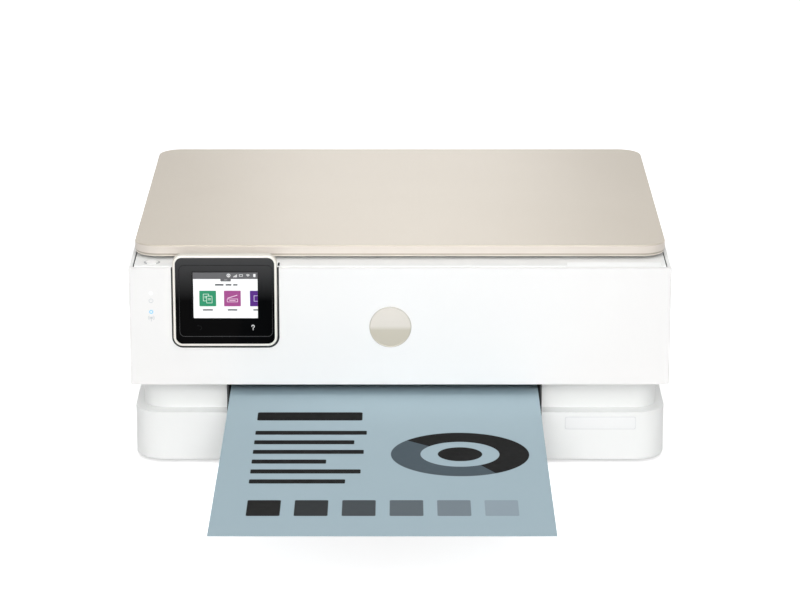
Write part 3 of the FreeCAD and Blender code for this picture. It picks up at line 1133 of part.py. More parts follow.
def make_paper():
    """Make the paper tray with its guides, photo tray, output shelf and sheets."""
    bin_body = new_body("paper_tray")
    tray_x = around("path_x", "tray_half")
    plan_pad(bin_body, tray_x, ("tray_y", "tray_rear"), ("tray_low", "tray_top"))
    plan_pocket(bin_body, around("path_x", "tray_half - tray_wall"),
                ("tray_inside", f"tray_rear + {BEYOND}"), ("tray_floor", "tray_top"))

    front = new_body("tray_front")
    front_pad(front, tray_x, ("tray_low", "tray_low + tray_front_height"), ("base_front", "tray_y"))
    for piece in (bin_body, front):
        notch = sketch_on(piece, "XZ_Plane", f"{BEYOND} - base_front")
        draw_circle(notch, "path_x", "tray_low + tray_front_height + tray_notch_rise", "tray_notch_radius")
        pocket(piece, notch, f"tray_front_thick + tray_wall + {BEYOND}")

    keep("paper_stack", box("paper_stack", around("path_x", "stack_width / 2"),
                            ("stack_front", "stack_front + stack_length"), ("tray_floor", "stack_top")))
    guide_y = ("tray_inside + guide_setback", "tray_inside + guide_setback + guide_length")
    guide_low = "tray_floor + slide_gap"
    for name, across in SIDES:
        near_x = f"path_x + {across} * guide_inner"
        wall_x = f"path_x + {across} * (guide_inner + guide_wall)"
        foot_x = f"path_x + {across} * (guide_inner + guide_foot)"
        wall_span = (near_x, wall_x) if across > 0 else (wall_x, near_x)
        foot_span = (near_x, foot_x) if across > 0 else (foot_x, near_x)
        wall = box(f"guide_wall_{name}", wall_span, guide_y, (guide_low, f"{guide_low} + guide_height"))
        foot = box(f"guide_foot_{name}", foot_span, guide_y, (guide_low, f"{guide_low} + guide_wall"))
        keep(f"paper_guide_{name}", joined(f"paper_guide_{name}", wall, foot))

    photo = new_body("photo_tray")
    plan_pad(photo, around("path_x", "photo_half"), ("photo_front", "photo_front + photo_length"),
             ("photo_low", "photo_low + tray_wall"))
    bay_y = ("photo_front + tray_wall", "photo_front + photo_length - tray_wall")
    plan_pad(photo, around("path_x", "photo_bay_width / 2 + tray_wall"),
             ("photo_front", "photo_front + photo_length"),
             ("photo_low + tray_wall", "photo_top"))
    plan_pocket(photo, around("path_x", "photo_bay_width / 2"), bay_y,
                ("photo_low + tray_wall", "photo_top"))

    shelf_pieces = [box("shelf_plate", tray_x, ("shelf_front", "shelf_rear"),
                        ("shelf_low", "platen_top"))]
    for name, across in SIDES:
        outer = f"path_x + {across} * tray_half"
        inner = f"path_x + {across} * (tray_half - tray_wall)"
        rail = f"path_x + {across} * (tray_half - rail_width - tray_wall)"
        leg_span = (inner, outer) if across > 0 else (outer, inner)
        rail_span = (rail, outer) if across > 0 else (outer, rail)
        shelf_pieces.append(box(f"shelf_leg_{name}", leg_span, ("photo_front", "shelf_rear"),
                                ("tray_top", "platen_top")))
        shelf_pieces.append(box(f"shelf_rail_{name}", rail_span, ("photo_front", "shelf_rear"),
                                ("tray_top", "rail_top")))
        hanger = [f"path_x + {across} * (extension_width / 2 + slide_gap)"]
        hanger.append(f"{hanger[0]} + {across} * tray_wall")
        lip = [f"{hanger[0]} - {across} * hanger_reach", hanger[1]]
        if across < 0:
            hanger.reverse()
            lip.reverse()
        shelf_pieces.append(box(f"hanger_wall_{name}", hanger, ("shelf_front", "shelf_rear"),
                                ("hanger_low", "shelf_low")))
        shelf_pieces.append(box(f"hanger_lip_{name}", lip, ("shelf_front", "shelf_rear"),
                                ("hanger_low", "hanger_low + hanger_lip")))
    keep("output_tray", joined("output_tray", *shelf_pieces))

    plate = new_body("tray_extension")
    plate_x = around("path_x", "extension_width / 2")
    plan_pad(plate, plate_x, ("extension_front", "extension_rear"), ("extension_low", "extension_top"),
             "extension_corner")
    arm_half = "pickup_width / 2 + arm_gap + arm_wall + extension_room"
    arm_front = "pickup_y - pickup_reach - pickup_radius - extension_room - extension_travel"
    plan_pocket(plate, around("path_x", arm_half), (arm_front, f"extension_rear + {BEYOND}"),
                (f"extension_low - {BEYOND}", f"extension_top + {BEYOND}"))
    plan_pad(plate, around("path_x", "extension_width / 2 - extension_corner"),
             ("extension_front", "extension_front + rest_thick"), ("extension_top", "platen_top"))
    keep("printed_sheet", leaving_sheet())


def leaving_sheet():
    """Make the sheet that the eject roller holds and that rises a little in front of the slot."""
    level, bend = number("sheet_z"), number("sheet_bend")
    start, tail = number("front_y"), number("front_y + sheet_tail")
    side = number("path_x - sheet_width / 2")
    half_thick = number("sheet_thick / 2")
    swing = math.asin(number("sheet_reach") / bend)

    def on_bend(angle, radius):
        height = level + bend - radius * math.cos(angle)
        return FreeCAD.Vector(side, start - radius * math.sin(angle), height)

    edges = []
    rims = []
    for offset in (half_thick, -half_thick):
        radius = bend - offset
        flat_start = FreeCAD.Vector(side, tail, level + offset)
        bend_start = on_bend(0, radius)
        bend_end = on_bend(swing, radius)
        edges.append(Part.makeLine(flat_start, bend_start))
        edges.append(Part.Arc(bend_start, on_bend(swing / 2, radius), bend_end).toShape())
        rims.append((flat_start, bend_end))
    for upper, lower in zip(*rims):
        edges.append(Part.makeLine(upper, lower))
    outline = Part.Wire(Part.__sortEdges__(edges))
    sheet = doc.addObject("Part::Feature", "sheet_profile")
    sheet.Shape = Part.Face(outline)
    run = doc.addObject("Part::Extrusion", "printed_sheet")
    run.Base = sheet
    run.DirMode = "Custom"
    run.Dir = FreeCAD.Vector(1, 0, 0)
    run.Solid = True
    bind(run, LengthFwd="sheet_width")
    return run


def plate_holes(side, outside):
    """Return the cylinders that cut a chassis plate for its shafts."""
    holes = []
    for name, y, z, radius in (
        ("feed", "feed_y", "roller_z", "roller_shaft + running_gap"),
        ("eject", "eject_y", "roller_z", "roller_shaft + running_gap"),
        ("pinch", "feed_y", "press_z", "press_shaft + running_gap"),
        ("star", "eject_y", "press_z", "press_shaft + running_gap"),
        ("pickup", "pickup_y", "pickup_height", "pickup_shaft_radius + running_gap"),
        ("rod", "rod_y", "rod_z", "rod_radius"),
    ):
        holes.append(rod(f"{side}_{name}_hole", "x", outside, (y, z), radius))
    return holes


def make_chassis():
    """Make the chassis plates, the beam, the carriage rod and the platen."""
    for side, across in SIDES:
        inner = f"{side}_plate"
        outer = f"{side}_plate + {across} * plate_thick"
        flange = f"{side}_plate + {across} * plate_flange"
        plate_x = (inner, outer) if across > 0 else (outer, inner)
        flange_x = (inner, flange) if across > 0 else (flange, inner)
        depth = ("plate_front", "plate_rear")
        plate = box(f"{side}_upright", plate_x, depth, ("floor_top", "carriage_top"))
        foot = box(f"{side}_flange", flange_x, depth, ("floor_top", "floor_top + plate_thick"))
        beyond = (f"{side}_plate - {BEYOND}", f"{side}_plate + {BEYOND}")
        holes = plate_holes(side, beyond)
        if across < 0:
            holes.append(rod("left_motor_hole", "x", beyond, ("feed_motor_y", "roller_z"),
                             "shaft_radius + shaft_room"))
        solid = joined(f"{side}_solid", plate, foot)
        keep(f"chassis_{side}", less(f"chassis_{side}", solid, *holes))

    keep("carriage_rod", rod("carriage_rod", "x",
                             ("left_plate - plate_thick", "right_plate + plate_thick"),
                             ("rod_y", "rod_z"), "rod_radius"))
    strip = box("beam_strip", ("left_plate", "right_plate"), ("beam_y", "beam_y + beam_thick"),
                ("carriage_top - beam_height", "carriage_top"))
    eye = rod("beam_eye", "y", (f"beam_y - {BEYOND}", f"beam_y + {BEYOND}"), ("motor_x", "belt_z"),
              "shaft_radius + shaft_room")
    peg = rod("beam_peg", "y", ("belt_y - 1", "beam_y"), ("idler_x", "belt_z"), "pin_radius")
    keep("carriage_beam", joined("carriage_beam", less("beam_pierced", strip, eye), peg))

    ribs = []
    first = "left_plate + rib_pitch / 2"
    count = int((number("platen_right") - number("left_plate")) / number("rib_pitch"))
    depth = ("eject_y + roller_radius + platen_room", "feed_y - roller_radius - platen_room")
    for index in range(count):
        place = f"{first} + {index} * rib_pitch"
        ribs.append(box(f"platen_rib_{index}", around(place, "rib_width / 2"), depth,
                        ("platen_top - rib_height", "platen_top")))
    slab = box("platen_slab", ("left_plate", "platen_right"), depth,
               ("platen_top - platen_height", "platen_top - rib_height"))
    keep("platen", joined("platen", slab, *ribs))


def make_carriage():
    """Make the carriage with its cartridges, belt, pulleys and motor."""
    cab = box("carriage_cab", ("carriage_left", "carriage_right"), ("carriage_front", "carriage_rear"),
              ("carriage_low", "carriage_top"))
    back = box("carriage_back", ("carriage_left", "carriage_right"),
               ("carriage_rear", "rod_y + rod_radius + rod_wall"),
               ("rod_z - carriage_back_height / 2", "rod_z + carriage_back_height / 2"))
    clamp_top = "belt_z - pulley_radius - belt_thick - belt_gap - clamp_gap"
    clamp = box("carriage_clamp", around("(carriage_left + carriage_right) / 2", "carriage_width / 4"),
                ("rod_y + rod_radius + rod_wall", "belt_y + belt_width"),
                (f"{clamp_top} - clamp_height", clamp_top))
    tools = [rod("carriage_bore", "x", (f"carriage_left - {BEYOND}", f"carriage_right + {BEYOND}"),
                 ("rod_y", "rod_z"), "rod_radius + running_gap")]
    for name in ("black", "color"):
        middle = f"{name}_x"
        tools.append(box(f"{name}_bay", around(middle, "bay_half"),
                         ("carriage_front + carriage_wall", "carriage_rear - carriage_wall"),
                         ("carriage_low + carriage_wall", f"carriage_top + {BEYOND}")))
        tools.append(box(f"{name}_window", around(middle, "nozzle_width / 2 + cartridge_gap"),
                         around("head_y", "nozzle_depth / 2 + cartridge_gap"),
                         (f"carriage_low - {BEYOND}", "carriage_low + carriage_wall")))
        tank = box(f"{name}_tank", around(middle, "bay_half - cartridge_gap"),
                   ("carriage_front + carriage_wall + cartridge_gap",
                    "carriage_rear - carriage_wall - cartridge_gap"),
                   ("carriage_low + carriage_wall", "carriage_top - cartridge_drop"))
        head = box(f"{name}_head", around(middle, "nozzle_width / 2"),
                   around("head_y", "nozzle_depth / 2"),
                   ("carriage_low - nozzle_drop", "carriage_low + carriage_wall"))
        keep(f"{name}_cartridge", joined(f"{name}_cartridge", tank, head))
    keep("carriage", less("carriage", joined("carriage_solid", cab, back, clamp), *tools))

    belt = new_body("carriage_belt")
    sketch = sketch_on(belt, "XZ_Plane", "-(belt_y + belt_width)")
    inner_bend = "pulley_radius + belt_gap"
    draw_loop(sketch, ("motor_x", "belt_z"), f"{inner_bend} + belt_thick",
              ("idler_x", "belt_z"), f"{inner_bend} + belt_thick")
    draw_loop(sketch, ("motor_x", "belt_z"), inner_bend, ("idler_x", "belt_z"), inner_bend)
    pad(belt, sketch, "belt_width")

    pulley_span = around("belt_y + belt_width / 2", "pulley_width / 2")
    motor_front = "beam_y + beam_thick"
    wheel = rod("motor_wheel", "y", pulley_span, ("motor_x", "belt_z"), "pulley_radius")
    shaft = rod("motor_shaft", "y", ("belt_y - 1", f"{motor_front} + shaft_length"),
                ("motor_x", "belt_z"), "shaft_radius")
    keep("motor_pulley", joined("motor_pulley", wheel, shaft))
    can = rod("motor_can", "y", (motor_front, f"{motor_front} + motor_length"),
              ("motor_x", "belt_z"), "motor_radius")
    well = rod("motor_well", "y", (f"{motor_front} - {BEYOND}", f"{motor_front} + shaft_length + 1"),
               ("motor_x", "belt_z"), "shaft_radius + running_gap")
    keep("carriage_motor", less("carriage_motor", can, well))
    disc = rod("idler_disc", "y", pulley_span, ("idler_x", "belt_z"), "pulley_radius")
    hole = rod("idler_hole", "y", (f"belt_y - {BEYOND}", f"beam_y + {BEYOND}"), ("idler_x", "belt_z"),
               "pin_radius + running_gap")
    keep("idler_pulley", less("idler_pulley", disc, hole))


def make_rollers():
    """Make the feed and eject rollers, what presses paper on them and their drive."""
    feed_line = ("feed_y", "roller_z")
    eject_line = ("eject_y", "roller_z")
    axle = rod("feed_axle", "x", ("drive_end", "right_plate + plate_thick"), feed_line, "roller_shaft")
    sleeve = rod("feed_sleeve", "x", ("left_plate + platen_room", "platen_right"), feed_line,
                 "roller_radius")
    keep("feed_roller", joined("feed_roller", axle, sleeve))
    eject_axle = rod("eject_axle", "x", ("drive_end", "right_plate + plate_thick"), eject_line,
                     "roller_shaft")
    star_axle = rod("star_axle", "x", ("left_plate - plate_thick", "right_plate + plate_thick"),
                    ("eject_y", "press_z"), "press_shaft")
    pinch_axle = rod("pinch_axle", "x", ("left_plate - plate_thick", "right_plate + plate_thick"),
                     ("feed_y", "press_z"), "press_shaft")
    rings = [eject_axle]
    stars = [star_axle]
    pinches = [pinch_axle]
    for index in range(-2, 3):
        place = f"path_x + {index} * ring_pitch"
        rings.append(rod(f"eject_ring_{index + 2}", "x", around(place, "roller_ring / 2"), eject_line,
                         "roller_radius"))
        stars.append(rod(f"star_disc_{index + 2}", "x", around(place, "star_width / 2"),
                         ("eject_y", "press_z"), "press_radius"))
        pinches.append(rod(f"pinch_sleeve_{index + 2}", "x", around(place, "pinch_width / 2"),
                           ("feed_y", "press_z"), "press_radius"))
    keep("eject_roller", joined("eject_roller", *rings))
    keep("star_wheels", joined("star_wheels", *stars))
    keep("pinch_rollers", joined("pinch_rollers", *pinches))

    big = rod("feed_rim", "x", ("link_x", "drive_x"), feed_line, "drive_radius")
    small = rod("link_rim", "x", ("drive_end", "link_x"), feed_line, "link_radius")
    feed_eye = rod("feed_eye", "x", (f"drive_end - {BEYOND}", f"drive_x + {BEYOND}"), feed_line,
                   "roller_shaft")
    keep("feed_pulley", less("feed_pulley", joined("feed_pulley_solid", big, small), feed_eye))
    rim = rod("eject_rim", "x", ("drive_end", "link_x"), eject_line, "link_radius")
    eject_eye = rod("eject_eye", "x", (f"drive_end - {BEYOND}", f"drive_x + {BEYOND}"), eject_line,
                    "roller_shaft")
    keep("eject_pulley", less("eject_pulley", rim, eject_eye))

    motor_line = ("feed_motor_y", "roller_z")
    pinion = rod("feed_pinion", "x", ("link_x", "drive_x"), motor_line, "feed_pinion_radius")
    spindle = rod("feed_spindle", "x", ("link_x", "left_plate + shaft_length"), motor_line, "shaft_radius")
    keep("feed_motor_pulley", joined("feed_motor_pulley", pinion, spindle))
    can = rod("feed_can", "x", ("left_plate", "left_plate + feed_motor_length"), motor_line,
              "feed_motor_radius")
    well = rod("feed_well", "x", (f"left_plate - {BEYOND}", "left_plate + shaft_length + 1"), motor_line,
               "shaft_radius + running_gap")
    keep("feed_motor", less("feed_motor", can, well))

    belts = []
    for name, near_y, near_bend, far_y, far_bend, place in (
        ("feed_belt", "feed_y", "drive_radius", "feed_motor_y", "feed_pinion_radius", "link_x"),
        ("eject_belt", "eject_y", "link_radius", "feed_y", "link_radius", "drive_end"),
    ):
        belt = doc.addObject("PartDesign::Body", name)
        sketch = sketch_on(belt, "YZ_Plane", f"{place} + (drive_width - belt_width) / 2")
        for offset in ("belt_gap + belt_thick", "belt_gap"):
            draw_loop(sketch, (near_y, "roller_z"), f"{near_bend} + {offset}",
                      (far_y, "roller_z"), f"{far_bend} + {offset}")
        pad(belt, sketch, "belt_width")
        belts.append(belt)
    keep("drive_belts", together("drive_belts", *belts))


def make_pickup():
    """Make the pickup arm with its shaft, and the pickup roller."""
    roller_y = "pickup_y - pickup_reach"
    line = (roller_y, "pickup_z")
    half = "pickup_width / 2 + arm_gap"
    shaft = rod("pickup_shaft", "x", ("left_plate - plate_thick", "right_plate + plate_thick"),
                ("pickup_y", "pickup_height"), "pickup_shaft_radius")
    pieces = [shaft]
    eyes = []
    for name, across in SIDES:
        inner = f"path_x + {across} * ({half})"
        outer = f"path_x + {across} * ({half} + arm_wall)"
        span = (inner, outer) if across > 0 else (outer, inner)
        side = doc.addObject("Part::Box", f"arm_side_{name}")
        bind(side, Length="arm_wall", Height="arm_height",
             Width="sqrt(pickup_reach ^ 2 + (pickup_height - pickup_z) ^ 2)")
        lean = "atan((pickup_height - pickup_z) / pickup_reach)"
        side.Placement = FreeCAD.Placement(FreeCAD.Vector(), FreeCAD.Rotation(FreeCAD.Vector(1, 0, 0), 1))
        bind(side, Placement__Rotation__Angle=lean, Placement__Base__x=span[0],
             Placement__Base__y=f"{roller_y} + arm_height / 2 * sin({lean})",
             Placement__Base__z=f"pickup_z - arm_height / 2 * cos({lean})")
        head = rod(f"arm_head_{name}", "x", span, line, "arm_height / 2")
        hub = rod(f"arm_hub_{name}", "x", span, ("pickup_y", "pickup_height"), "arm_height / 2")
        pieces += [side, head, hub]
        eyes.append(rod(f"arm_eye_{name}", "x", (f"{span[0]} - 1", f"{span[1]} + 1"), line,
                        "pickup_axle + running_gap"))
    keep("pickup_arm", less("pickup_arm", joined("pickup_arm_solid", *pieces), *eyes))
    tyre = rod("pickup_tyre", "x", around("path_x", "pickup_width / 2"), line, "pickup_radius")
    axle = rod("pickup_axle_rod", "x", around("path_x", f"{half} + arm_wall"), line, "pickup_axle")
    keep("pickup_roller", joined("pickup_roller", tyre, axle))


def make_electronics():
    """Make the service station, the main board and the power supply."""
    depth = ("carriage_front", "carriage_rear")
    block = box("station_block", ("station_left", "station_right"), depth, ("floor_top", "station_top"))
    caps = []
    for name in ("black", "color"):
        caps.append(box(f"{name}_cap", around(f"{name}_x", "nozzle_width / 2"),
                        around("head_y", "nozzle_depth / 2"),
                        ("station_top", "carriage_low - nozzle_drop - paper_gap")))
    well = box("station_well", ("station_left + carriage_wall", "station_right - carriage_wall"),
               ("carriage_front + carriage_wall", "carriage_rear - carriage_wall"),
               (f"floor_top - {BEYOND}", "station_top - carriage_wall"))
    keep("service_station", joined("service_station", less("station_case", block, well), *caps))

    layers = [box("board_sheet", ("board_left", "board_right"), ("board_front", "board_rear"),
                  ("floor_top + board_lift", "board_top"))]
    layers.append(box("board_chip", around("usb_x", "chip_size / 2"),
                      around("(board_front + board_rear) / 2 - chip_size", "chip_size / 2"),
                      ("board_top", "board_top + chip_height")))
    columns = (("left", "board_left + 2 * spacer_radius"), ("right", "board_right - 2 * spacer_radius"))
    rows = (("front", "board_front + 2 * spacer_radius"), ("rear", "board_rear - 2 * spacer_radius"))
    for name, across in columns:
        for end, along in rows:
            layers.append(rod(f"spacer_{name}_{end}", "z", ("floor_top", "floor_top + board_lift"),
                              (across, along), "spacer_radius"))
    keep("main_board", joined("main_board", *layers))

    keep("power_supply", box("power_supply", ("supply_left", "supply_right"),
                             ("supply_front", "supply_rear"),
                             ("floor_top", "floor_top + supply_height")))


def export_parts():
    """Check every object and write one file for each sub-part."""
    doc.recompute()
    for item in doc.Objects:
        state = " ".join(item.State)
        if "Invalid" in state or "Error" in state:
            raise RuntimeError(f"{item.Label} did not rebuild: {state}")
    os.makedirs("parts", exist_ok=True)
    for item in parts:
        shape = item.Shape
        if shape.isNull() or not shape.isValid() or not shape.Solids:
            raise RuntimeError(f"{item.Label} is not a valid solid")
        shape.exportStep(f"parts/{item.Label}.step")
        print(f"{item.Label}: {len(shape.Solids)} solid(s), {shape.Volume / 1000:.1f} cm3")
    print(f"{len(parts)} sub-parts")


fill_sheets()
make_base()
make_shell()
make_rear()
make_scanner()
make_lid()
make_control_panel()
make_paper()
make_chassis()
make_carriage()
make_rollers()
make_pickup()
make_electronics()
export_parts()
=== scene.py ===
"""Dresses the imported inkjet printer: finishes, screen, badge, trim, and the studio around it."""

from __future__ import annotations

import json
import logging
import math
from collections.abc import Sequence
from dataclasses import dataclass, replace
from enum import Enum
from functools import cache
from itertools import product

import bmesh
import bpy
from mathutils import Matrix, Vector

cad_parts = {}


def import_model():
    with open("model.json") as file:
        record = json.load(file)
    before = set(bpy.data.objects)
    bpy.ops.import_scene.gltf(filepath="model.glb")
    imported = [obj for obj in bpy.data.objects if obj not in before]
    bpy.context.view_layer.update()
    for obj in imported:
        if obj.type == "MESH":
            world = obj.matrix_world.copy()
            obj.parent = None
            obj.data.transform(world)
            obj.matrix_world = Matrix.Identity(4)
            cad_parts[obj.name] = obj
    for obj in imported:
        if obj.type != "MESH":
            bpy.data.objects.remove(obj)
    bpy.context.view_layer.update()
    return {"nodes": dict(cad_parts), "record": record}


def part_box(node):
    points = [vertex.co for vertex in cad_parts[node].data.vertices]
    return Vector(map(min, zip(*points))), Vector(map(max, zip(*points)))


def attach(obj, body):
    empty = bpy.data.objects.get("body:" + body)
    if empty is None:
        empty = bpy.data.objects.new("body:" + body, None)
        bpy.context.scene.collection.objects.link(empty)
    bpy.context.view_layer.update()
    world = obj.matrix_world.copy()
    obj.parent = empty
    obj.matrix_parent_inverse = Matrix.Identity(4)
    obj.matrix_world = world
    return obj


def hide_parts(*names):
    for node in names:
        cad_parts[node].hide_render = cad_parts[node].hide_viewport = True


LOG = logging.getLogger("printer")
MM = 0.001
Colour = tuple[int, int, int]
Shade = tuple[float, float, float, float]
Point = tuple[float, float, float]
Profile = Sequence[tuple[float, float]]
Inputs = dict[str | int, object]
Node = bpy.types.Node
NodeTree = bpy.types.NodeTree
Socket = bpy.types.NodeSocket
Material = bpy.types.Material
Shape = bmesh.types.BMesh


def linear(colour: Colour) -> Shade:
    """Turn a colour as a screen shows it into the linear one that shaders take, by the sRGB curve.

    Args:
        colour: Red, green and blue, 0 to 255.

    Returns:
        Linear red, green, blue and full opacity.
    """
    steps = (part / 255 for part in colour)
    lit = (s / 12.92 if s <= 0.04045 else ((s + 0.055) / 1.055) ** 2.4 for s in steps)
    return (*lit, 1.0)


class Graph:
    """Short ways to add and join the nodes of one shader tree."""

    # Numbers of the Mix node's sockets that blend colours.
    MIX_FACTOR, MIX_FIRST, MIX_SECOND, MIX_RESULT = 0, 6, 7, 2

    def __init__(self, tree: NodeTree) -> None:
        """Work on the given tree."""
        self.tree = tree

    def feed(self, target: Socket, value: object) -> None:
        """Link a socket to a target, or set a plain value on it.

        Args:
            target: The input that takes the value.
            value: A socket, or a number, vector or colour.
        """
        if isinstance(value, Socket):
            self.tree.links.new(value, target)
        else:
            target.default_value = value

    def fill(self, node: Node, inputs: Inputs) -> None:
        """Feed some of a node's inputs, each given by its name or number."""
        for place, value in inputs.items():
            self.feed(node.inputs[place], value)

    def add(self, kind: str, inputs: Inputs | None = None, **settings: object) -> Node:
        """Add a node.

        Args:
            kind: Blender's name of the node type.
            inputs: What goes in, by the input's name or number.
            settings: Properties to set on the node.

        Returns:
            The new node.
        """
        node = self.tree.nodes.new(kind)
        for name, value in settings.items():
            setattr(node, name, value)
        self.fill(node, inputs or {})
        return node

    def math(self, operation: str, *values: object, clamp: bool = False) -> Socket:
        """Work out one number, kept between 0 and 1 where clamp is set."""
        inputs = dict(enumerate(values))
        return self.add("ShaderNodeMath", inputs, operation=operation, use_clamp=clamp).outputs[0]

    def vector(self, operation: str, *values: object) -> Socket:
        """Work out one vector, or the length of one."""
        node = self.add("ShaderNodeVectorMath", dict(enumerate(values)), operation=operation)
        return node.outputs["Value" if operation == "LENGTH" else "Vector"]

    def parts(self, vector: Socket) -> list[Socket]:
        """Split a vector into its three numbers."""
        return list(self.add("ShaderNodeSeparateXYZ", {0: vector}).outputs)

    def pair(self, across: Socket, up: Socket) -> Socket:
        """Join two numbers into a vector with zero as its third part."""
        return self.add("ShaderNodeCombineXYZ", {0: across, 1: up}).outputs[0]

    def place(self) -> Socket:
        """Give the place on the piece, in metres."""
        return self.add("ShaderNodeTexCoord").outputs["Object"]

    def mix(self, factor: object, first: object, second: object) -> Socket:
        """Blend two colours by the second one's share."""
        inputs = {self.MIX_FACTOR: factor, self.MIX_FIRST: first, self.MIX_SECOND: second}
        return self.add("ShaderNodeMix", inputs, data_type="RGBA").outputs[self.MIX_RESULT]

    def weigh(self, first: Socket, share: float, second: Socket, other_share: float) -> Socket:
        """Add two values, each times its own share."""
        return self.math("MULTIPLY_ADD", first, share, self.math("MULTIPLY", second, other_share))

    def spread(self, value: Socket, low: float, high: float) -> Socket:
        """Stretch a value from 0..1 to low..high."""
        return self.add("ShaderNodeMapRange", {"Value": value, "To Min": low, "To Max": high}).outputs[0]

    def soften(self, past: Socket, soft: Socket) -> Socket:
        """Turn a distance past an edge into a mask that fades over a soft width."""
        return self.math("SUBTRACT", 0.5, self.math("DIVIDE", past, soft), clamp=True)

    def noise(self, vector: Socket, scale: object, layers: float = 2.0) -> Socket:
        """Add a soft noise of about 0 to 1, with features to the metre and a number of finer layers."""
        inputs = {"Vector": vector, "Scale": scale, "Detail": layers}
        return self.add("ShaderNodeTexNoise", inputs).outputs[0]

    def cells(self, vector: Socket, scale: object) -> tuple[Socket, Socket]:
        """Add a pattern of cells.

        Args:
            vector: Coordinates.
            scale: Cells to the metre.

        Returns:
            The distance to a cell's middle, and a value that differs from cell to cell.
        """
        cells = self.add("ShaderNodeTexVoronoi", {"Vector": vector, "Scale": scale}).outputs
        split = self.add("ShaderNodeSeparateColor", {0: cells["Color"]})
        return cells["Distance"], split.outputs[0]


class Plane(Enum):
    """The flat side of the printer on which marks are laid out: the axes across it and up it."""

    FRONT = (0, 2)
    TOP = (0, 1)
    SIDE = (1, 2)


@dataclass(frozen=True)
class Face:
    """A flat side of the printer, and the place on it from which marks are measured."""

    plane: Plane
    origin: Point

    @classmethod
    def middle(cls, plane: Plane, node: str) -> Face:
        """Measure from the middle of a node's box."""
        low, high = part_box(node)
        return cls(plane, tuple((low + high) / 2))

    def coordinates(self, graph: Graph) -> Socket:
        """Measure from the origin along the plane, in millimetres.

        Args:
            graph: The tree to add to.

        Returns:
            A vector with the two distances, and zero as its third part.
        """
        away = graph.vector("SUBTRACT", graph.place(), self.origin)
        parts = graph.parts(graph.vector("MULTIPLY", away, (1 / MM, 1 / MM, 1 / MM)))
        across, up = self.plane.value
        return graph.pair(parts[across], parts[up])


class Effect(Enum):
    """The surface effects that finishes share."""

    GRAIN = "moulded grain"
    FLAKE = "metal flake"
    BRUSHED = "brushed lines"
    FIBRE = "paper fibre"
    FOAM = "foam cells"
    LAYERS = "stacked sheets"


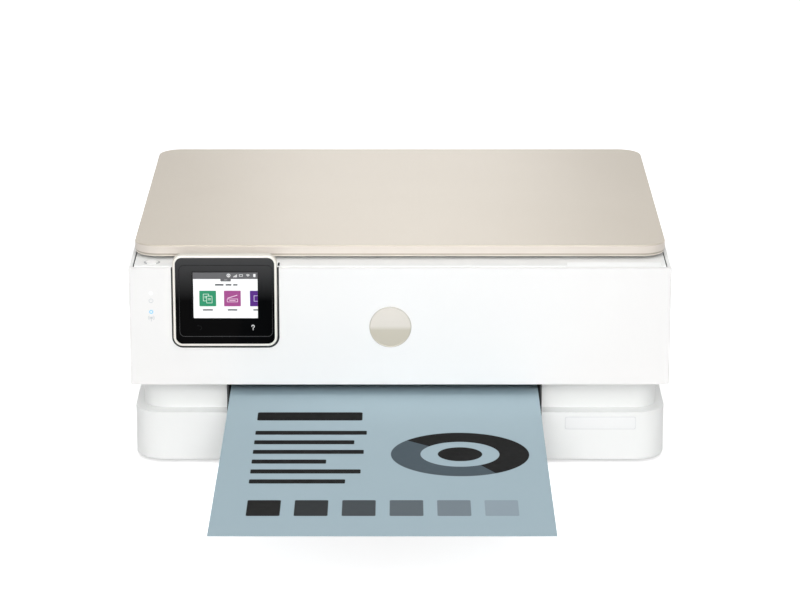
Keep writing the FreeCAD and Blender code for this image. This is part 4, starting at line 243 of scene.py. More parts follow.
class Workshop:
    """Builds each shared node group at its first call and hands it out."""

    CLOUDS_TO_METRE = 9.0
    # Numbers of finer layers in a noise.
    FINE_LAYERS = 3.0
    FIBRE_LAYERS = 5.0
    # Scales of coarser and finer patterns, as shares of an effect's own scale.
    PATCH_SCALE = 0.05
    FINE_SCALE = 1.7
    STREAK_SCALE = 0.4
    # How drawn-out patterns are squeezed along X, Y and Z.
    BRUSHED_SQUEEZE = (0.02, 1.0, 1.0)
    FIBRE_SQUEEZE = (0.35, 1.0, 1.0)
    SHEET_SQUEEZE = (0.004, 0.004, 1.0)
    # How two patterns are weighed where they add up.
    GRAIN_SHARE = 0.6
    FLAKE_SHARE = 0.55
    EVEN_SHARE = 0.5

    @staticmethod
    def start(
        name: str, vectors: Sequence[str], numbers: Sequence[str], gives: Sequence[str]
    ) -> tuple[Graph, dict[str, Socket], dict[str, Socket]]:
        """Open a new node group.

        Args:
            name: Name of the group.
            vectors: Names of the vectors that it takes.
            numbers: Names of the numbers that it takes.
            gives: Names of the numbers that it gives.

        Returns:
            The group's graph, what it takes and what it gives, both by name.
        """
        tree = bpy.data.node_groups.new(name, "ShaderNodeTree")
        sockets = [(title, "INPUT", "NodeSocketVector") for title in vectors]
        sockets += [(title, "INPUT", "NodeSocketFloat") for title in numbers]
        sockets += [(title, "OUTPUT", "NodeSocketFloat") for title in gives]
        for title, side, kind in sockets:
            tree.interface.new_socket(title, in_out=side, socket_type=kind)
        graph = Graph(tree)
        entry = graph.add("NodeGroupInput")
        leave = graph.add("NodeGroupOutput")
        return graph, dict(entry.outputs.items()), dict(leave.inputs.items())

    @classmethod
    @cache
    def effect(cls, effect: Effect) -> NodeTree:
        """Give the group of a surface effect.

        Args:
            effect: The effect.

        Returns:
            The group, which gives Height, Tone and Gloss from 0 to 1.
        """
        gives = ("Height", "Tone", "Gloss")
        graph, entry, leave = cls.start(effect.value, ["Vector"], ["Scale"], gives)
        point, scale = entry["Vector"], entry["Scale"]
        cloud = graph.noise(point, cls.CLOUDS_TO_METRE, cls.FINE_LAYERS)
        gloss = graph.noise(point, graph.math("MULTIPLY", scale, cls.PATCH_SCALE))
        match effect:
            case Effect.GRAIN:
                pits, _ = graph.cells(point, scale)
                fine_scale = graph.math("MULTIPLY", scale, cls.FINE_SCALE)
                fine = graph.noise(point, fine_scale, cls.FINE_LAYERS)
                height = graph.weigh(pits, cls.GRAIN_SHARE, fine, cls.GRAIN_SHARE)
                tone = cloud
            case Effect.FLAKE:
                height, gloss = graph.cells(point, scale)
                tone = graph.weigh(gloss, cls.FLAKE_SHARE, cloud, 1 - cls.FLAKE_SHARE)
            case Effect.BRUSHED:
                drawn = graph.vector("MULTIPLY", point, cls.BRUSHED_SQUEEZE)
                height = graph.noise(drawn, scale, cls.FINE_LAYERS)
                tone = graph.noise(drawn, graph.math("MULTIPLY", scale, cls.STREAK_SCALE))
            case Effect.FIBRE:
                drawn = graph.vector("MULTIPLY", point, cls.FIBRE_SQUEEZE)
                height = graph.noise(drawn, scale, cls.FIBRE_LAYERS)
                tone = graph.weigh(height, cls.EVEN_SHARE, cloud, cls.EVEN_SHARE)
            case Effect.FOAM:
                height, chance = graph.cells(point, scale)
                tone = graph.weigh(height, cls.EVEN_SHARE, chance, cls.EVEN_SHARE)
            case Effect.LAYERS:
                height = graph.noise(graph.vector("MULTIPLY", point, cls.SHEET_SQUEEZE), scale)
                tone = height
        for title, value in zip(gives, (height, tone, gloss)):
            graph.feed(leave[title], value)
        return graph.tree

    @classmethod
    @cache
    def bar(cls) -> NodeTree:
        """Give the group that masks a bar with round corners.

        Returns:
            The group, which gives 1 on the bar and 0 off it.
        """
        vectors, numbers = ("Vector", "Centre", "Half"), ("Corner", "Turn", "Soft")
        graph, entry, leave = cls.start("bar mask", vectors, numbers, ["Mask"])
        away = graph.vector("SUBTRACT", entry["Vector"], entry["Centre"])
        turn = {"Vector": away, "Angle": entry["Turn"]}
        turned = graph.add("ShaderNodeVectorRotate", turn, rotation_type="Z_AXIS").outputs[0]
        inner = graph.vector("SUBTRACT", entry["Half"], graph.pair(entry["Corner"], entry["Corner"]))
        past = graph.vector("SUBTRACT", graph.vector("ABSOLUTE", turned), inner)
        outside = graph.vector("LENGTH", graph.vector("MAXIMUM", past, (0.0, 0.0, 0.0)))
        across, up, _ = graph.parts(past)
        inside = graph.math("MINIMUM", graph.math("MAXIMUM", across, up), 0.0)
        reach = graph.math("SUBTRACT", graph.math("ADD", outside, inside), entry["Corner"])
        graph.feed(leave["Mask"], graph.soften(reach, entry["Soft"]))
        return graph.tree

    @classmethod
    @cache
    def arc(cls) -> NodeTree:
        """Give the group that masks a ring or a part of one.

        Returns:
            The group, which gives 1 on the arc and 0 off it.
        """
        vectors, numbers = ("Vector", "Centre"), ("Radius", "Half", "Middle", "Sweep", "Soft")
        graph, entry, leave = cls.start("arc mask", vectors, numbers, ["Mask"])
        away = graph.vector("SUBTRACT", entry["Vector"], entry["Centre"])
        off = graph.math("SUBTRACT", graph.vector("LENGTH", away), entry["Radius"])
        past = graph.math("SUBTRACT", graph.math("ABSOLUTE", off), entry["Half"])
        across, up, _ = graph.parts(away)
        angle = graph.math("SUBTRACT", graph.math("ARCTAN2", up, across), entry["Middle"])
        turned = graph.math("WRAP", angle, math.pi, -math.pi)
        within = graph.math("LESS_THAN", graph.math("ABSOLUTE", turned), entry["Sweep"])
        band = graph.soften(past, entry["Soft"])
        graph.feed(leave["Mask"], graph.math("MULTIPLY", band, within))
        return graph.tree


@dataclass(frozen=True)
class Mark:
    """A printed mark, in millimetres from its face's origin; each kind has a size and a colour."""

    x: float
    y: float

    def group(self) -> tuple[NodeTree, Inputs]:
        """Give the group that masks the mark, and what goes into it beside the mark's place."""
        raise NotImplementedError

    def mask(self, graph: Graph, flat: Socket) -> Socket:
        """Mask the mark.

        Args:
            graph: The material's tree.
            flat: Coordinates on the face.

        Returns:
            1 on the mark and 0 off it.
        """
        tree, values = self.group()
        inputs = {"Vector": flat, "Centre": (self.x, self.y, 0.0), **values}
        return graph.add("ShaderNodeGroup", inputs, node_tree=tree).outputs[0]


@dataclass(frozen=True)
class Bar(Mark):
    """A printed bar with round corners, turned by an angle in degrees."""

    half_width: float
    half_height: float
    colour: Colour
    corner: float = 0.0
    turn: float = 0.0
    soft: float = 0.12

    def group(self) -> tuple[NodeTree, Inputs]:
        """Give the bar's group and values."""
        size = {"Half": (self.half_width, self.half_height, 0.0), "Corner": self.corner}
        return Workshop.bar(), size | {"Turn": math.radians(self.turn), "Soft": self.soft}


@dataclass(frozen=True)
class Arc(Mark):
    """A printed ring, or the part of one within a sweep to each side of its middle, in degrees."""

    radius: float
    half_width: float
    colour: Colour
    middle: float = 0.0
    # Past 180 it takes in the whole ring.
    sweep: float = 181.0
    soft: float = 0.12

    def group(self) -> tuple[NodeTree, Inputs]:
        """Give the arc's group and values."""
        size = {"Radius": self.radius, "Half": self.half_width, "Soft": self.soft}
        part = {"Middle": math.radians(self.middle), "Sweep": math.radians(self.sweep)}
        return Workshop.arc(), size | part


@dataclass(frozen=True)
class Well(Bar):
    """A bar in plan that only colours what lies above a height, in metres."""

    above: float = 0.0

    def mask(self, graph: Graph, flat: Socket) -> Socket:
        """Mask the bar where it lies above the height."""
        high = graph.math("GREATER_THAN", graph.parts(graph.place())[2], self.above)
        return graph.math("MULTIPLY", high, super().mask(graph, flat))


@dataclass(frozen=True)
class Print:
    """Marks in the order they are laid down, and the face that they are measured on."""

    face: Face
    marks: Sequence[Mark]

    def over(self, graph: Graph, ground: Socket) -> Socket:
        """Lay the marks over a colour.

        Args:
            graph: The material's tree.
            ground: Colour under the marks.

        Returns:
            The printed colour.
        """
        flat = self.face.coordinates(graph)
        for mark in self.marks:
            ground = graph.mix(mark.mask(graph, flat), ground, linear(mark.colour))
        return ground


@dataclass(frozen=True)
class Finish:
    """One procedural finish: its colours, its effect and how it shines, with sizes in millimetres."""

    name: str
    colour: Colour
    shade: Colour
    effect: Effect
    size: float
    relief: float
    roughness: float
    spread: float = 0.06
    metallic: float = 0.0
    specular: float = 0.5
    coat: float = 0.0
    transmission: float = 0.0
    edge: float = 0.0
    edge_samples: int = 4
    glow: float = 0.0

    def build(self, printed: Print | None = None, suffix: str = "") -> Material:
        """Make the material.

        Args:
            printed: Marks on the surface, if any.
            suffix: Added to the name of a printed copy.

        Returns:
            The new material.
        """
        material = bpy.data.materials.new(self.name + suffix)
        material.use_nodes = True
        graph = Graph(material.node_tree)
        pattern = {"Vector": graph.place(), "Scale": 1 / (self.size * MM)}
        surface = graph.add("ShaderNodeGroup", pattern, node_tree=Workshop.effect(self.effect)).outputs
        tint = graph.mix(surface["Tone"], linear(self.colour), linear(self.shade))
        if printed:
            tint = printed.over(graph, tint)
        bump = {"Distance": self.relief * MM, "Height": surface["Height"]}
        if self.edge:
            rounding = {"Radius": self.edge * MM}
            bump["Normal"] = graph.add("ShaderNodeBevel", rounding, samples=self.edge_samples).outputs[0]
        low, high = self.roughness - self.spread, self.roughness + self.spread
        look = {
            "Base Color": tint,
            "Roughness": graph.spread(surface["Gloss"], low, high),
            "Normal": graph.add("ShaderNodeBump", bump).outputs[0],
            "Metallic": self.metallic,
            "Specular IOR Level": self.specular,
            "Coat Weight": self.coat,
            "Transmission Weight": self.transmission,
        }
        if self.glow:
            look |= {"Emission Color": tint, "Emission Strength": self.glow}
        graph.fill(material.node_tree.nodes["Principled BSDF"], look)
        return material


FINISHES = {
    finish.name: finish
    for finish in (
        Finish("white_plastic", (246, 247, 246), (242, 243, 242), Effect.GRAIN,
               size=0.5, relief=0.02, roughness=0.46, edge=0.3),
        Finish("champagne_plastic", (207, 198, 184), (196, 186, 171), Effect.FLAKE,
               size=0.25, relief=0.006, roughness=0.38, metallic=0.2, specular=0.3, edge=0.4),
        Finish("dark_plastic", (48, 49, 51), (40, 41, 43), Effect.GRAIN,
               size=0.6, relief=0.04, roughness=0.55, edge=0.4),
        Finish("grey_plastic", (150, 152, 154), (140, 142, 145), Effect.GRAIN,
               size=0.6, relief=0.03, roughness=0.5, edge=0.3),
        Finish("black_gloss", (3, 3, 3), (5, 5, 6), Effect.GRAIN,
               size=4.0, relief=0.001, roughness=0.07, spread=0.02, specular=0.04),
        Finish("display_face", (250, 250, 250), (248, 248, 248), Effect.GRAIN,
               size=0.2, relief=0.001, roughness=0.14, spread=0.02, specular=0.2),
        Finish("light_pipe", (252, 253, 253), (247, 249, 250), Effect.GRAIN,
               size=1.2, relief=0.01, roughness=0.2, spread=0.05, coat=0.4),
        Finish("scanner_glass", (236, 246, 243), (232, 244, 240), Effect.GRAIN,
               size=30.0, relief=0.0005, roughness=0.03, spread=0.01, transmission=0.94),
        Finish("white_foam", (243, 243, 242), (232, 232, 231), Effect.FOAM,
               size=0.8, relief=0.12, roughness=0.85),
        Finish("steel", (178, 181, 184), (158, 161, 165), Effect.BRUSHED,
               size=0.35, relief=0.006, roughness=0.34, metallic=1.0, edge=0.2),
        Finish("rubber", (38, 38, 39), (30, 30, 31), Effect.GRAIN,
               size=0.8, relief=0.05, roughness=0.78, specular=0.3, edge=0.3),
        Finish("paper", (244, 244, 242), (226, 227, 226), Effect.LAYERS,
               size=0.12, relief=0.03, roughness=0.8, specular=0.2),
        Finish("printed_paper", (167, 187, 196), (163, 183, 192), Effect.FIBRE,
               size=0.3, relief=0.012, roughness=0.7, specular=0.08),
        Finish("circuit_board", (36, 104, 66), (28, 88, 54), Effect.GRAIN,
               size=2.2, relief=0.05, roughness=0.4, coat=0.3),
    )
}
BADGE_FINISH = Finish("badge_metal", (234, 227, 218), (229, 222, 212), Effect.BRUSHED,
                      size=0.2, relief=0.003, roughness=0.38, spread=0.04, metallic=0.2, edge=0.1)
BEAD_FINISH = Finish("bead_gloss", (20, 20, 21), (24, 24, 25), Effect.GRAIN,
                     size=4.0, relief=0.001, roughness=0.3, spread=0.02, specular=0.2)
PANEL_FINISH = Finish("panel_plastic", (214, 208, 197), (207, 201, 189), Effect.FLAKE,
                      size=0.25, relief=0.006, roughness=0.38, metallic=0.1, edge=0.3)
PLATE_FINISH = Finish("plate_plastic", (245, 246, 246), (242, 243, 243), Effect.GRAIN,
                      size=0.9, relief=0.006, roughness=0.38, spread=0.04, edge=0.1)
SCREEN_FINISH = Finish("lit_screen", (3, 3, 3), (4, 4, 4), Effect.GRAIN,
                       size=0.2, relief=0.001, roughness=0.16, spread=0.02, specular=0.1, glow=0.06)
SCREW_FINISH = Finish("screw_steel", (120, 122, 124), (96, 98, 100), Effect.BRUSHED,
                      size=0.3, relief=0.01, roughness=0.36, metallic=1.0, edge=0.1)


class Modeller:
    """Turns bmesh shapes into pieces of the printer, and dresses them and the frame's nodes."""

    CORNER_STEPS = 8
    EDGE_STEPS = 3
    MERGE_GAP = 1e-7

    def __init__(self, nodes: dict[str, bpy.types.Object]) -> None:
        """Keep the frame's nodes, and start with no material and no piece made."""
        self.nodes = nodes
        self.built: dict[str, Material] = {}
        self.pieces: list[str] = []

    def material(self, finish: Finish) -> Material:
        """Give a finish's plain material, made at the first call.

        Args:
            finish: The finish.

        Returns:
            The material that all its plain pieces share.
        """
        if finish.name not in self.built:
            self.built[finish.name] = finish.build()
        return self.built[finish.name]

    def dress(self, node: str, material: Material) -> None:
        """Give a node of the frame its material."""
        self.nodes[node].data.materials.clear()
        self.nodes[node].data.materials.append(material)

    def paint(self, node: str, finish: Finish, printed: Print, suffix: str = "") -> None:
        """Give a node of the frame a printed finish."""
        self.dress(node, finish.build(printed, suffix))

    def settle(
        self, name: str, shape: Shape, body: str, slot: str,
        material: Material | None = None, smooth: float = 35.0,
    ) -> bpy.types.Object:
        """Make a piece that rides on a body.

        Args:
            name: Name of the piece.
            shape: Its mesh, in place; it is used up.
            body: The body that it moves with.
            slot: The record's slot of its finish.
            material: Its material, if it isn't the slot's plain one.
            smooth: Edges below this angle in degrees are shaded smooth.

        Returns:
            The new object.
        """
        mesh = bpy.data.meshes.new(name)
        shape.to_mesh(mesh)
        shape.free()
        mesh.shade_smooth()
        mesh.set_sharp_from_angle(angle=math.radians(smooth))
        mesh.materials.append(material or self.material(FINISHES[slot]))
        piece = bpy.data.objects.new(name, mesh)
        bpy.context.scene.collection.objects.link(piece)
        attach(piece, body)
        self.pieces.append(name)
        LOG.info("piece %s: %d faces on %s", name, len(mesh.polygons), body)
        return piece

    @staticmethod
    def sheet(width: float, height: float, columns: int = 1, rows: int = 1) -> Shape:
        """Start a flat sheet at Z = 0, about the origin.

        Args:
            width: Along X.
            height: Along Y.
            columns: Faces along X.
            rows: Faces along Y.

        Returns:
            The sheet.
        """
        shape = bmesh.new()
        bmesh.ops.create_grid(shape, x_segments=columns, y_segments=rows, size=0.5)
        bmesh.ops.scale(shape, vec=(width, height, 1.0), verts=shape.verts)
        return shape

    @staticmethod
    def round_off(shape: Shape, parts: list, radius: float, steps: int, affect: str = "EDGES") -> None:
        """Round the given edges off, or the given vertices where affect says so."""
        bmesh.ops.bevel(
            shape, geom=parts, offset=radius, segments=steps, profile=0.5, affect=affect, material=-1
        )

    @staticmethod
    def thicken(shape: Shape, height: float) -> None:
        """Draw a flat shape's faces up from Z = 0 into a closed solid.

        Args:
            shape: The flat shape.
            height: How far it is drawn up.
        """
        grown = bmesh.ops.extrude_face_region(shape, geom=shape.faces[:])
        raised = [part for part in grown["geom"] if isinstance(part, bmesh.types.BMVert)]
        bmesh.ops.translate(shape, vec=(0.0, 0.0, height), verts=raised)
        bmesh.ops.recalc_face_normals(shape, faces=shape.faces)

    @classmethod
    def rounded_plate(
        cls, width: float, height: float, corner: float, thick: float, edge: float
    ) -> Shape:
        """Model a flat plate with round corners, its back on Z = 0 and its face at +Z.

        Args:
            width: Along X.
            height: Along Y.
            corner: Corner radius.
            thick: Along Z.
            edge: Rounding of the face's edge.

        Returns:
            The plate about the origin.
        """
        shape = cls.sheet(width, height)
        cls.round_off(shape, shape.verts[:], corner, cls.CORNER_STEPS, "VERTICES")
        cls.thicken(shape, thick)
        rim = [e for e in shape.edges if all(v.co.z > thick / 2 for v in e.verts)]
        cls.round_off(shape, rim, edge, cls.EDGE_STEPS)
        return shape

    @classmethod
    def turned(cls, profile: Profile, radius: float, height: float, steps: int) -> Shape:
        """Turn a profile about the Z axis.

        Args:
            profile: Radius and height of each point, from the middle of the face to that of the back.
            radius: What a radius of 1 stands for.
            height: What a height of 1 stands for.
            steps: Number of steps round.

        Returns:
            The closed turned shape about the origin.
        """
        shape = bmesh.new()
        line = [shape.verts.new((out * radius, 0.0, up * height)) for out, up in profile]
        edges = [shape.edges.new(pair) for pair in zip(line, line[1:])]
        bmesh.ops.spin(
            shape,
            geom=line + edges,
            cent=(0.0, 0.0, 0.0),
            axis=(0.0, 0.0, 1.0),
            angle=2 * math.pi,
            steps=steps,
            use_merge=True,
        )
        bmesh.ops.remove_doubles(shape, verts=shape.verts, dist=cls.MERGE_GAP)
        bmesh.ops.recalc_face_normals(shape, faces=shape.faces)
        return shape

    @staticmethod
    def take(shape: Shape, into: Shape) -> None:
        """Move a shape's mesh into another.

        Args:
            shape: The shape to move; it is used up.
            into: The shape that takes it.
        """
        carrier = bpy.data.meshes.new("carrier")
        shape.to_mesh(carrier)
        shape.free()
        into.from_mesh(carrier)
        bpy.data.meshes.remove(carrier)

    @staticmethod
    def face_front(shape: Shape, place: Vector) -> None:
        """Turn a shape that faces +Z to face the front, and put its back on a place."""
        turn = Matrix.Rotation(math.radians(90), 4, "X")
        bmesh.ops.transform(shape, matrix=Matrix.Translation(place) @ turn, verts=shape.verts)


@dataclass
class Assembly:
    """A sub-assembly of the printer, and the modeller that makes and dresses its pieces.

    The sizes and places of pieces are in metres, written with MM, and those of printed marks are in
    millimetres.
    """

    maker: Modeller

    def build(self) -> None:
        """Model the sub-assembly's own pieces and dress its nodes of the frame."""
        raise NotImplementedError


@dataclass
class FrontTrim(Assembly):
    """The badge disc, the blank name plate, the signs by the lights, and the power button."""

    badge_x: float = -8.2 * MM
    badge_z: float = 126.3 * MM
    badge_radius: float = 17.9 * MM
    badge_steps: int = 96
    badge_smooth: float = 25.0
    # A shallow dish, the step to the raised rim, and the side: shares of the radius, and millimetres.
    badge_profile: Profile = (
        (0.0, 0.62), (0.55, 0.6), (0.9, 0.5), (0.945, 0.46), (0.955, 0.72),
        (0.97, 0.82), (0.985, 0.78), (1.0, 0.5), (1.0, 0.0), (0.0, 0.0),
    )
    badge_split: float = 1.0
    # Painted shade: the badge's lower half is tinted darker.
    badge_painted_lower_shade: Colour = (208, 200, 184)
    badge_line: float = 0.55
    badge_line_tone: Colour = (196, 190, 180)
    plate_middle: tuple[float, float] = (172.65 * MM, 36.35 * MM)
    plate_size: tuple[float, float] = (61.1 * MM, 11.3 * MM)
    plate_corner: float = 1.6 * MM
    plate_thick: float = 0.35 * MM
    plate_edge: float = 0.15 * MM
    plate_line: float = 0.45
    plate_border: Colour = (223, 225, 226)
    plate_field: Colour = (243, 244, 244)
    # Painted light: the front panel's white is tinted warm to cancel the blue light that the sheet
    # bounces onto it.
    front_bounce_warmed_white: Colour = (248, 247, 246)
    front_bounce_warmed_tone: Colour = (244, 243, 242)
    icon_grey: Colour = (212, 216, 218)
    power_sign: float = 1.6
    wireless_sign: float = -14.1
    lamp_rise: float = 1.8
    lamp_glow: float = 0.12
    lamp_colour: Colour = (226, 243, 252)
    lamp_rim: Colour = (150, 210, 240)
    button_ring_radius: float = 6.2
    # Painted shade on the button's edge at both sides, and a painted highlight on its middle.
    button_edge_shade: Colour = (186, 188, 189)
    button_middle_highlight: Colour = (254, 254, 254)

    def build(self) -> None:
        """Model the badge and the plate, print the front and the lights, and paint shade and a highlight
        on the button.
        """
        self.build_badge()
        self.build_plate()
        self.print_front()
        self.print_lights()
        self.print_button()

    def build_badge(self) -> None:
        """Turn the bare badge disc, paint shade over its lower half, and tone its edge."""
        disc = self.maker.turned(self.badge_profile, self.badge_radius, MM, self.badge_steps)
        low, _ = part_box("front_panel")
        place = Vector((self.badge_x, low.y, self.badge_z))
        self.maker.face_front(disc, place)
        radius = self.badge_radius / MM
        marks = (
            Bar(0.0, -radius - self.badge_split, 2 * radius, radius, self.badge_painted_lower_shade, soft=3.5),
            Arc(0.0, 0.0, radius, self.badge_line, self.badge_line_tone, soft=0.5),
        )
        metal = BADGE_FINISH.build(Print(Face(Plane.FRONT, tuple(place)), marks))
        self.maker.settle("badge_disc", disc, "root", "champagne_plastic", metal, self.badge_smooth)

    def build_plate(self) -> None:
        """Set the blank name plate on the base's right front, with a thin border."""
        corner, line = self.plate_corner, self.plate_line
        shape = self.maker.rounded_plate(*self.plate_size, corner, self.plate_thick, self.plate_edge)
        low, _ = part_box("base_housing")
        x, z = self.plate_middle
        place = Vector((x, low.y, z))
        self.maker.face_front(shape, place)
        width, height = (size / MM / 2 for size in self.plate_size)
        border = (
            Bar(0.0, 0.0, 2 * width, 2 * height, self.plate_border),
            Bar(0.0, 0.0, width - line, height - line, self.plate_field, corner / MM, soft=0.3),
        )
        plate = PLATE_FINISH.build(Print(Face(Plane.FRONT, tuple(place)), border))
        self.maker.settle("name_plate", shape, "root", "white_plastic", plate)

    def print_front(self) -> None:
        """Print the faint power and wireless signs under the two lights, on a front panel tinted warm as
        painted light.
        """
        ink, stroke, fine = self.icon_grey, 0.24, 0.22
        power, wireless = self.power_sign, self.wireless_sign
        mast_top = wireless + 0.6
        marks = [
            Arc(0.0, power, 1.7, stroke, ink, 270.0, 140.0),
            Bar(0.0, power + 1.4, stroke, 1.1, ink, 0.2),
            Bar(0.0, wireless - 1.2, stroke, 1.4, ink, 0.2),
            Arc(0.0, mast_top, 0.5, 0.5, ink),
        ]
        for radius in (1.5, 2.5):
            marks += [Arc(0.0, mast_top, radius, fine, ink, side, 48.0) for side in (0.0, 180.0)]
        # The warm tint paints out the sheet's blue bounce light on the front panel.
        front = replace(FINISHES["white_plastic"], colour=self.front_bounce_warmed_white, shade=self.front_bounce_warmed_tone)
        face = Face.middle(Plane.FRONT, "status_lights")
        self.maker.paint("front_panel", front, Print(face, marks), "_front")

    def print_lights(self) -> None:
        """Let the two lights glow faintly, with the lower one in blue."""
        low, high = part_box("status_lights")
        lamp = (low.z - high.z) / 2 / MM + self.lamp_rise
        marks = (
            Arc(0.0, lamp, 1.0, 1.0, self.lamp_colour, soft=0.3),
            Arc(0.0, lamp, 1.35, 0.4, self.lamp_rim, soft=0.3),
        )
        lamps = replace(FINISHES["light_pipe"], glow=self.lamp_glow)
        self.maker.paint("status_lights", lamps, Print(Face.middle(Plane.FRONT, "status_lights"), marks))

    def print_button(self) -> None:
        """Paint shade on the power button's edge at both sides, and a painted highlight on its middle.
        """
        radius, grey = self.button_ring_radius, self.button_edge_shade
        # Painted shade arcs at the sides, then a painted highlight in the middle.
        ring = [Arc(0.0, 0.0, radius, 0.6, grey, side, 52.0, soft=0.5) for side in (0.0, 180.0)]
        ring.append(Arc(0.0, 0.0, 2.0, 2.2, self.button_middle_highlight, soft=1.5))
        face = Face.middle(Plane.TOP, "power_button")
        self.maker.paint("power_button", FINISHES["white_plastic"], Print(face, ring), "_button")


@dataclass
class ControlPanel(Assembly):
    """The tilting panel: cream trim with a painted highlight, the bead and the touch glass with a
    painted highlight and reflection, and what the screen shows.
    """

    rim_depth: float = 0.5
    bead_inset: tuple[float, float, float, float] = (5.2 * MM, 3.7 * MM, 8.4 * MM, 8.4 * MM)
    bead_corner: float = 4.5 * MM
    bead_corner_steps: int = 10
    bead_width: float = 0.55 * MM
    bead_lift: float = 0.14 * MM
    bead_edge: float = 0.063 * MM
    bead_edge_steps: int = 2
    bead_crease: float = 0.5
    # Painted highlight low on the bead.
    bead_painted_highlight: Colour = (56, 56, 57)
    # Painted reflection over the top of the touch glass.
    glass_painted_reflection: Colour = (78, 78, 79)
    # Cream of the housing's front band, which also paints the highlight on its edge.
    cream_and_highlight: Colour = (246, 242, 233)
    black: Colour = (3, 3, 3)
    grey: Colour = (104, 104, 106)
    tab_line: Colour = (170, 170, 172)
    white: Colour = (252, 252, 252)
    sign_white: Colour = (238, 238, 238)
    faint: Colour = (24, 24, 25)
    text: Colour = (96, 98, 100)
    green: Colour = (54, 148, 108)
    pale_green: Colour = (214, 236, 226)
    magenta: Colour = (164, 80, 140)
    pale_magenta: Colour = (240, 214, 232)
    purple: Colour = (90, 48, 132)
    pale_purple: Colour = (220, 208, 236)
    sign_row: float = 17.4
    title_row: float = 9.2
    tile_row: float = -2.85
    caption_row: float = -12.9
    tile_columns: tuple[float, float, float] = (-14.55, 6.35, 28.3)

    def build(self) -> None:
        """Model the bead, light the screen, and print the housing's cream band and the touch glass, with
        their painted highlight and reflection.
        """
        self.build_bead()
        self.print_screen()
        self.print_housing()
        self.print_glass()

    def bead_ring(self, width: float, height: float) -> Shape:
        """Model the bead as a flat frame with round corners.

        Args:
            width: Outer size along X.
            height: Outer size along Y.

        Returns:
            The frame about the origin, its back on Z = 0.
        """
        ring = self.maker.sheet(width, height)
        self.maker.round_off(ring, ring.verts[:], self.bead_corner, self.bead_corner_steps, "VERTICES")
        middle = max(ring.faces, key=lambda face: face.calc_area())
        bmesh.ops.inset_region(
            ring, faces=[middle], thickness=self.bead_width, use_boundary=True, use_even_offset=True
        )
        bmesh.ops.delete(ring, geom=[middle], context="FACES")
        self.maker.thicken(ring, self.bead_lift)
        top = [e for e in ring.edges if all(v.co.z > self.bead_lift / 2 for v in e.verts)]
        crown = [e for e in top if e.calc_face_angle(0.0) > self.bead_crease]
        self.maker.round_off(ring, crown, self.bead_edge, self.bead_edge_steps)
        return ring

    def build_bead(self) -> None:
        """Set the bead on the touch glass, with a painted highlight along its foot."""
        low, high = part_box("panel_housing")
        glass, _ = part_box("touch_glass")
        left, right, top, bottom = self.bead_inset
        corner = Vector((low.x + left, glass.y, low.z + bottom))
        reach = Vector((high.x - right, glass.y, high.z - top)) - corner
        bead = self.bead_ring(reach.x, reach.z)
        self.maker.face_front(bead, corner + reach / 2)
        # Painted highlight along the bead's foot.
        light = Bar(reach.x / MM / 2, -10.0, 60.0, 24.0, self.bead_painted_highlight, soft=30.0)
        gloss = BEAD_FINISH.build(Print(Face(Plane.FRONT, tuple(corner)), [light]))
        self.maker.settle("touch_bead", bead, "panel", "black_gloss", gloss)

    def status_marks(self) -> list[Mark]:
        """Lay out the grey status bar with its small signs, and the tab below it.

        Returns:
            The marks, the lowest layer first.
        """
        white, grey, row = self.sign_white, self.grey, self.sign_row
        return [
            Bar(0.0, row + 0.2, 28.5, 3.3, grey),
            Bar(0.8, row - 3.8, 4.4, 1.4, grey, 0.7),
            Bar(0.8, row - 3.9, 1.4, 0.28, self.tab_line, 0.2),
            Arc(3.3, row, 1.3, 0.28, white),
            Bar(3.3, row, 0.28, 0.8, white),
            *(Bar(7.6 + 0.85 * i, row - 1.2 + 0.28 * i, 0.26, 0.35 + 0.28 * i, white) for i in range(4)),
            Bar(13.8, row, 1.5, 1.0, white, 0.2),
            Bar(13.8, row, 1.15, 0.65, grey, 0.1),
            *(Arc(19.7, row - 1.3, radius, 0.2, white, 90.0, 42.0) for radius in (0.8, 1.5, 2.2)),
            Bar(25.2, row, 1.0, 1.4, white, 0.5),
        ]

    def page_sign(self, x: float, y: float) -> list[Mark]:
        """Lay out a sheet with two lines on it, for the green tile.

        Args:
            x: Middle of the sheet, across.
            y: Middle of the sheet, up.

        Returns:
            The marks, the lowest layer first.
        """
        ink = self.pale_green
        return [
            Bar(x, y, 2.5, 3.2, ink, 0.35),
            Bar(x, y, 2.1, 2.8, self.green, 0.2),
            Bar(x, y + 0.9, 1.3, 0.2, ink),
            Bar(x, y - 0.3, 1.3, 0.2, ink),
        ]

    def tile_marks(self) -> list[Mark]:
        """Lay out the three coloured tiles with their signs, and the bars in place of words.

        Returns:
            The marks, the lowest layer first.
        """
        left, middle, right = self.tile_columns
        row, glass = self.tile_row, self.tile_row - 1.7
        tiles = zip(self.tile_columns, (self.green, self.magenta, self.purple))
        captions = ((left, 4.2), (middle, 4.0), (right - 1.1, 3.2))
        titles = ((-4.6, 3.6), (3.2, 2.4), (9.0, 1.8))
        return [
            *(Bar(x, row, 7.1, 6.85, tile, 0.35) for x, tile in tiles),
            *self.page_sign(left - 1.45, row + 0.9),
            *self.page_sign(left + 1.35, row - 0.9),
            Bar(middle, glass, 4.6, 1.5, self.pale_magenta, 0.3),
            Bar(middle, glass, 4.2, 1.1, self.magenta, 0.2),
            Bar(middle, row + 1.6, 4.4, 0.3, self.pale_magenta, 0.2, -18.0),
            Bar(middle, glass, 2.6, 0.25, self.pale_magenta),
            Bar(right - 1.9, row, 1.9, 2.6, self.pale_purple, 0.3),
            Bar(right - 1.9, row, 1.5, 2.2, self.purple, 0.2),
            *(Bar(x, self.caption_row, half, 0.62, self.text, 0.3) for x, half in captions),
            *(Bar(x, self.title_row, half, 0.7, self.text, 0.3) for x, half in titles),
        ]

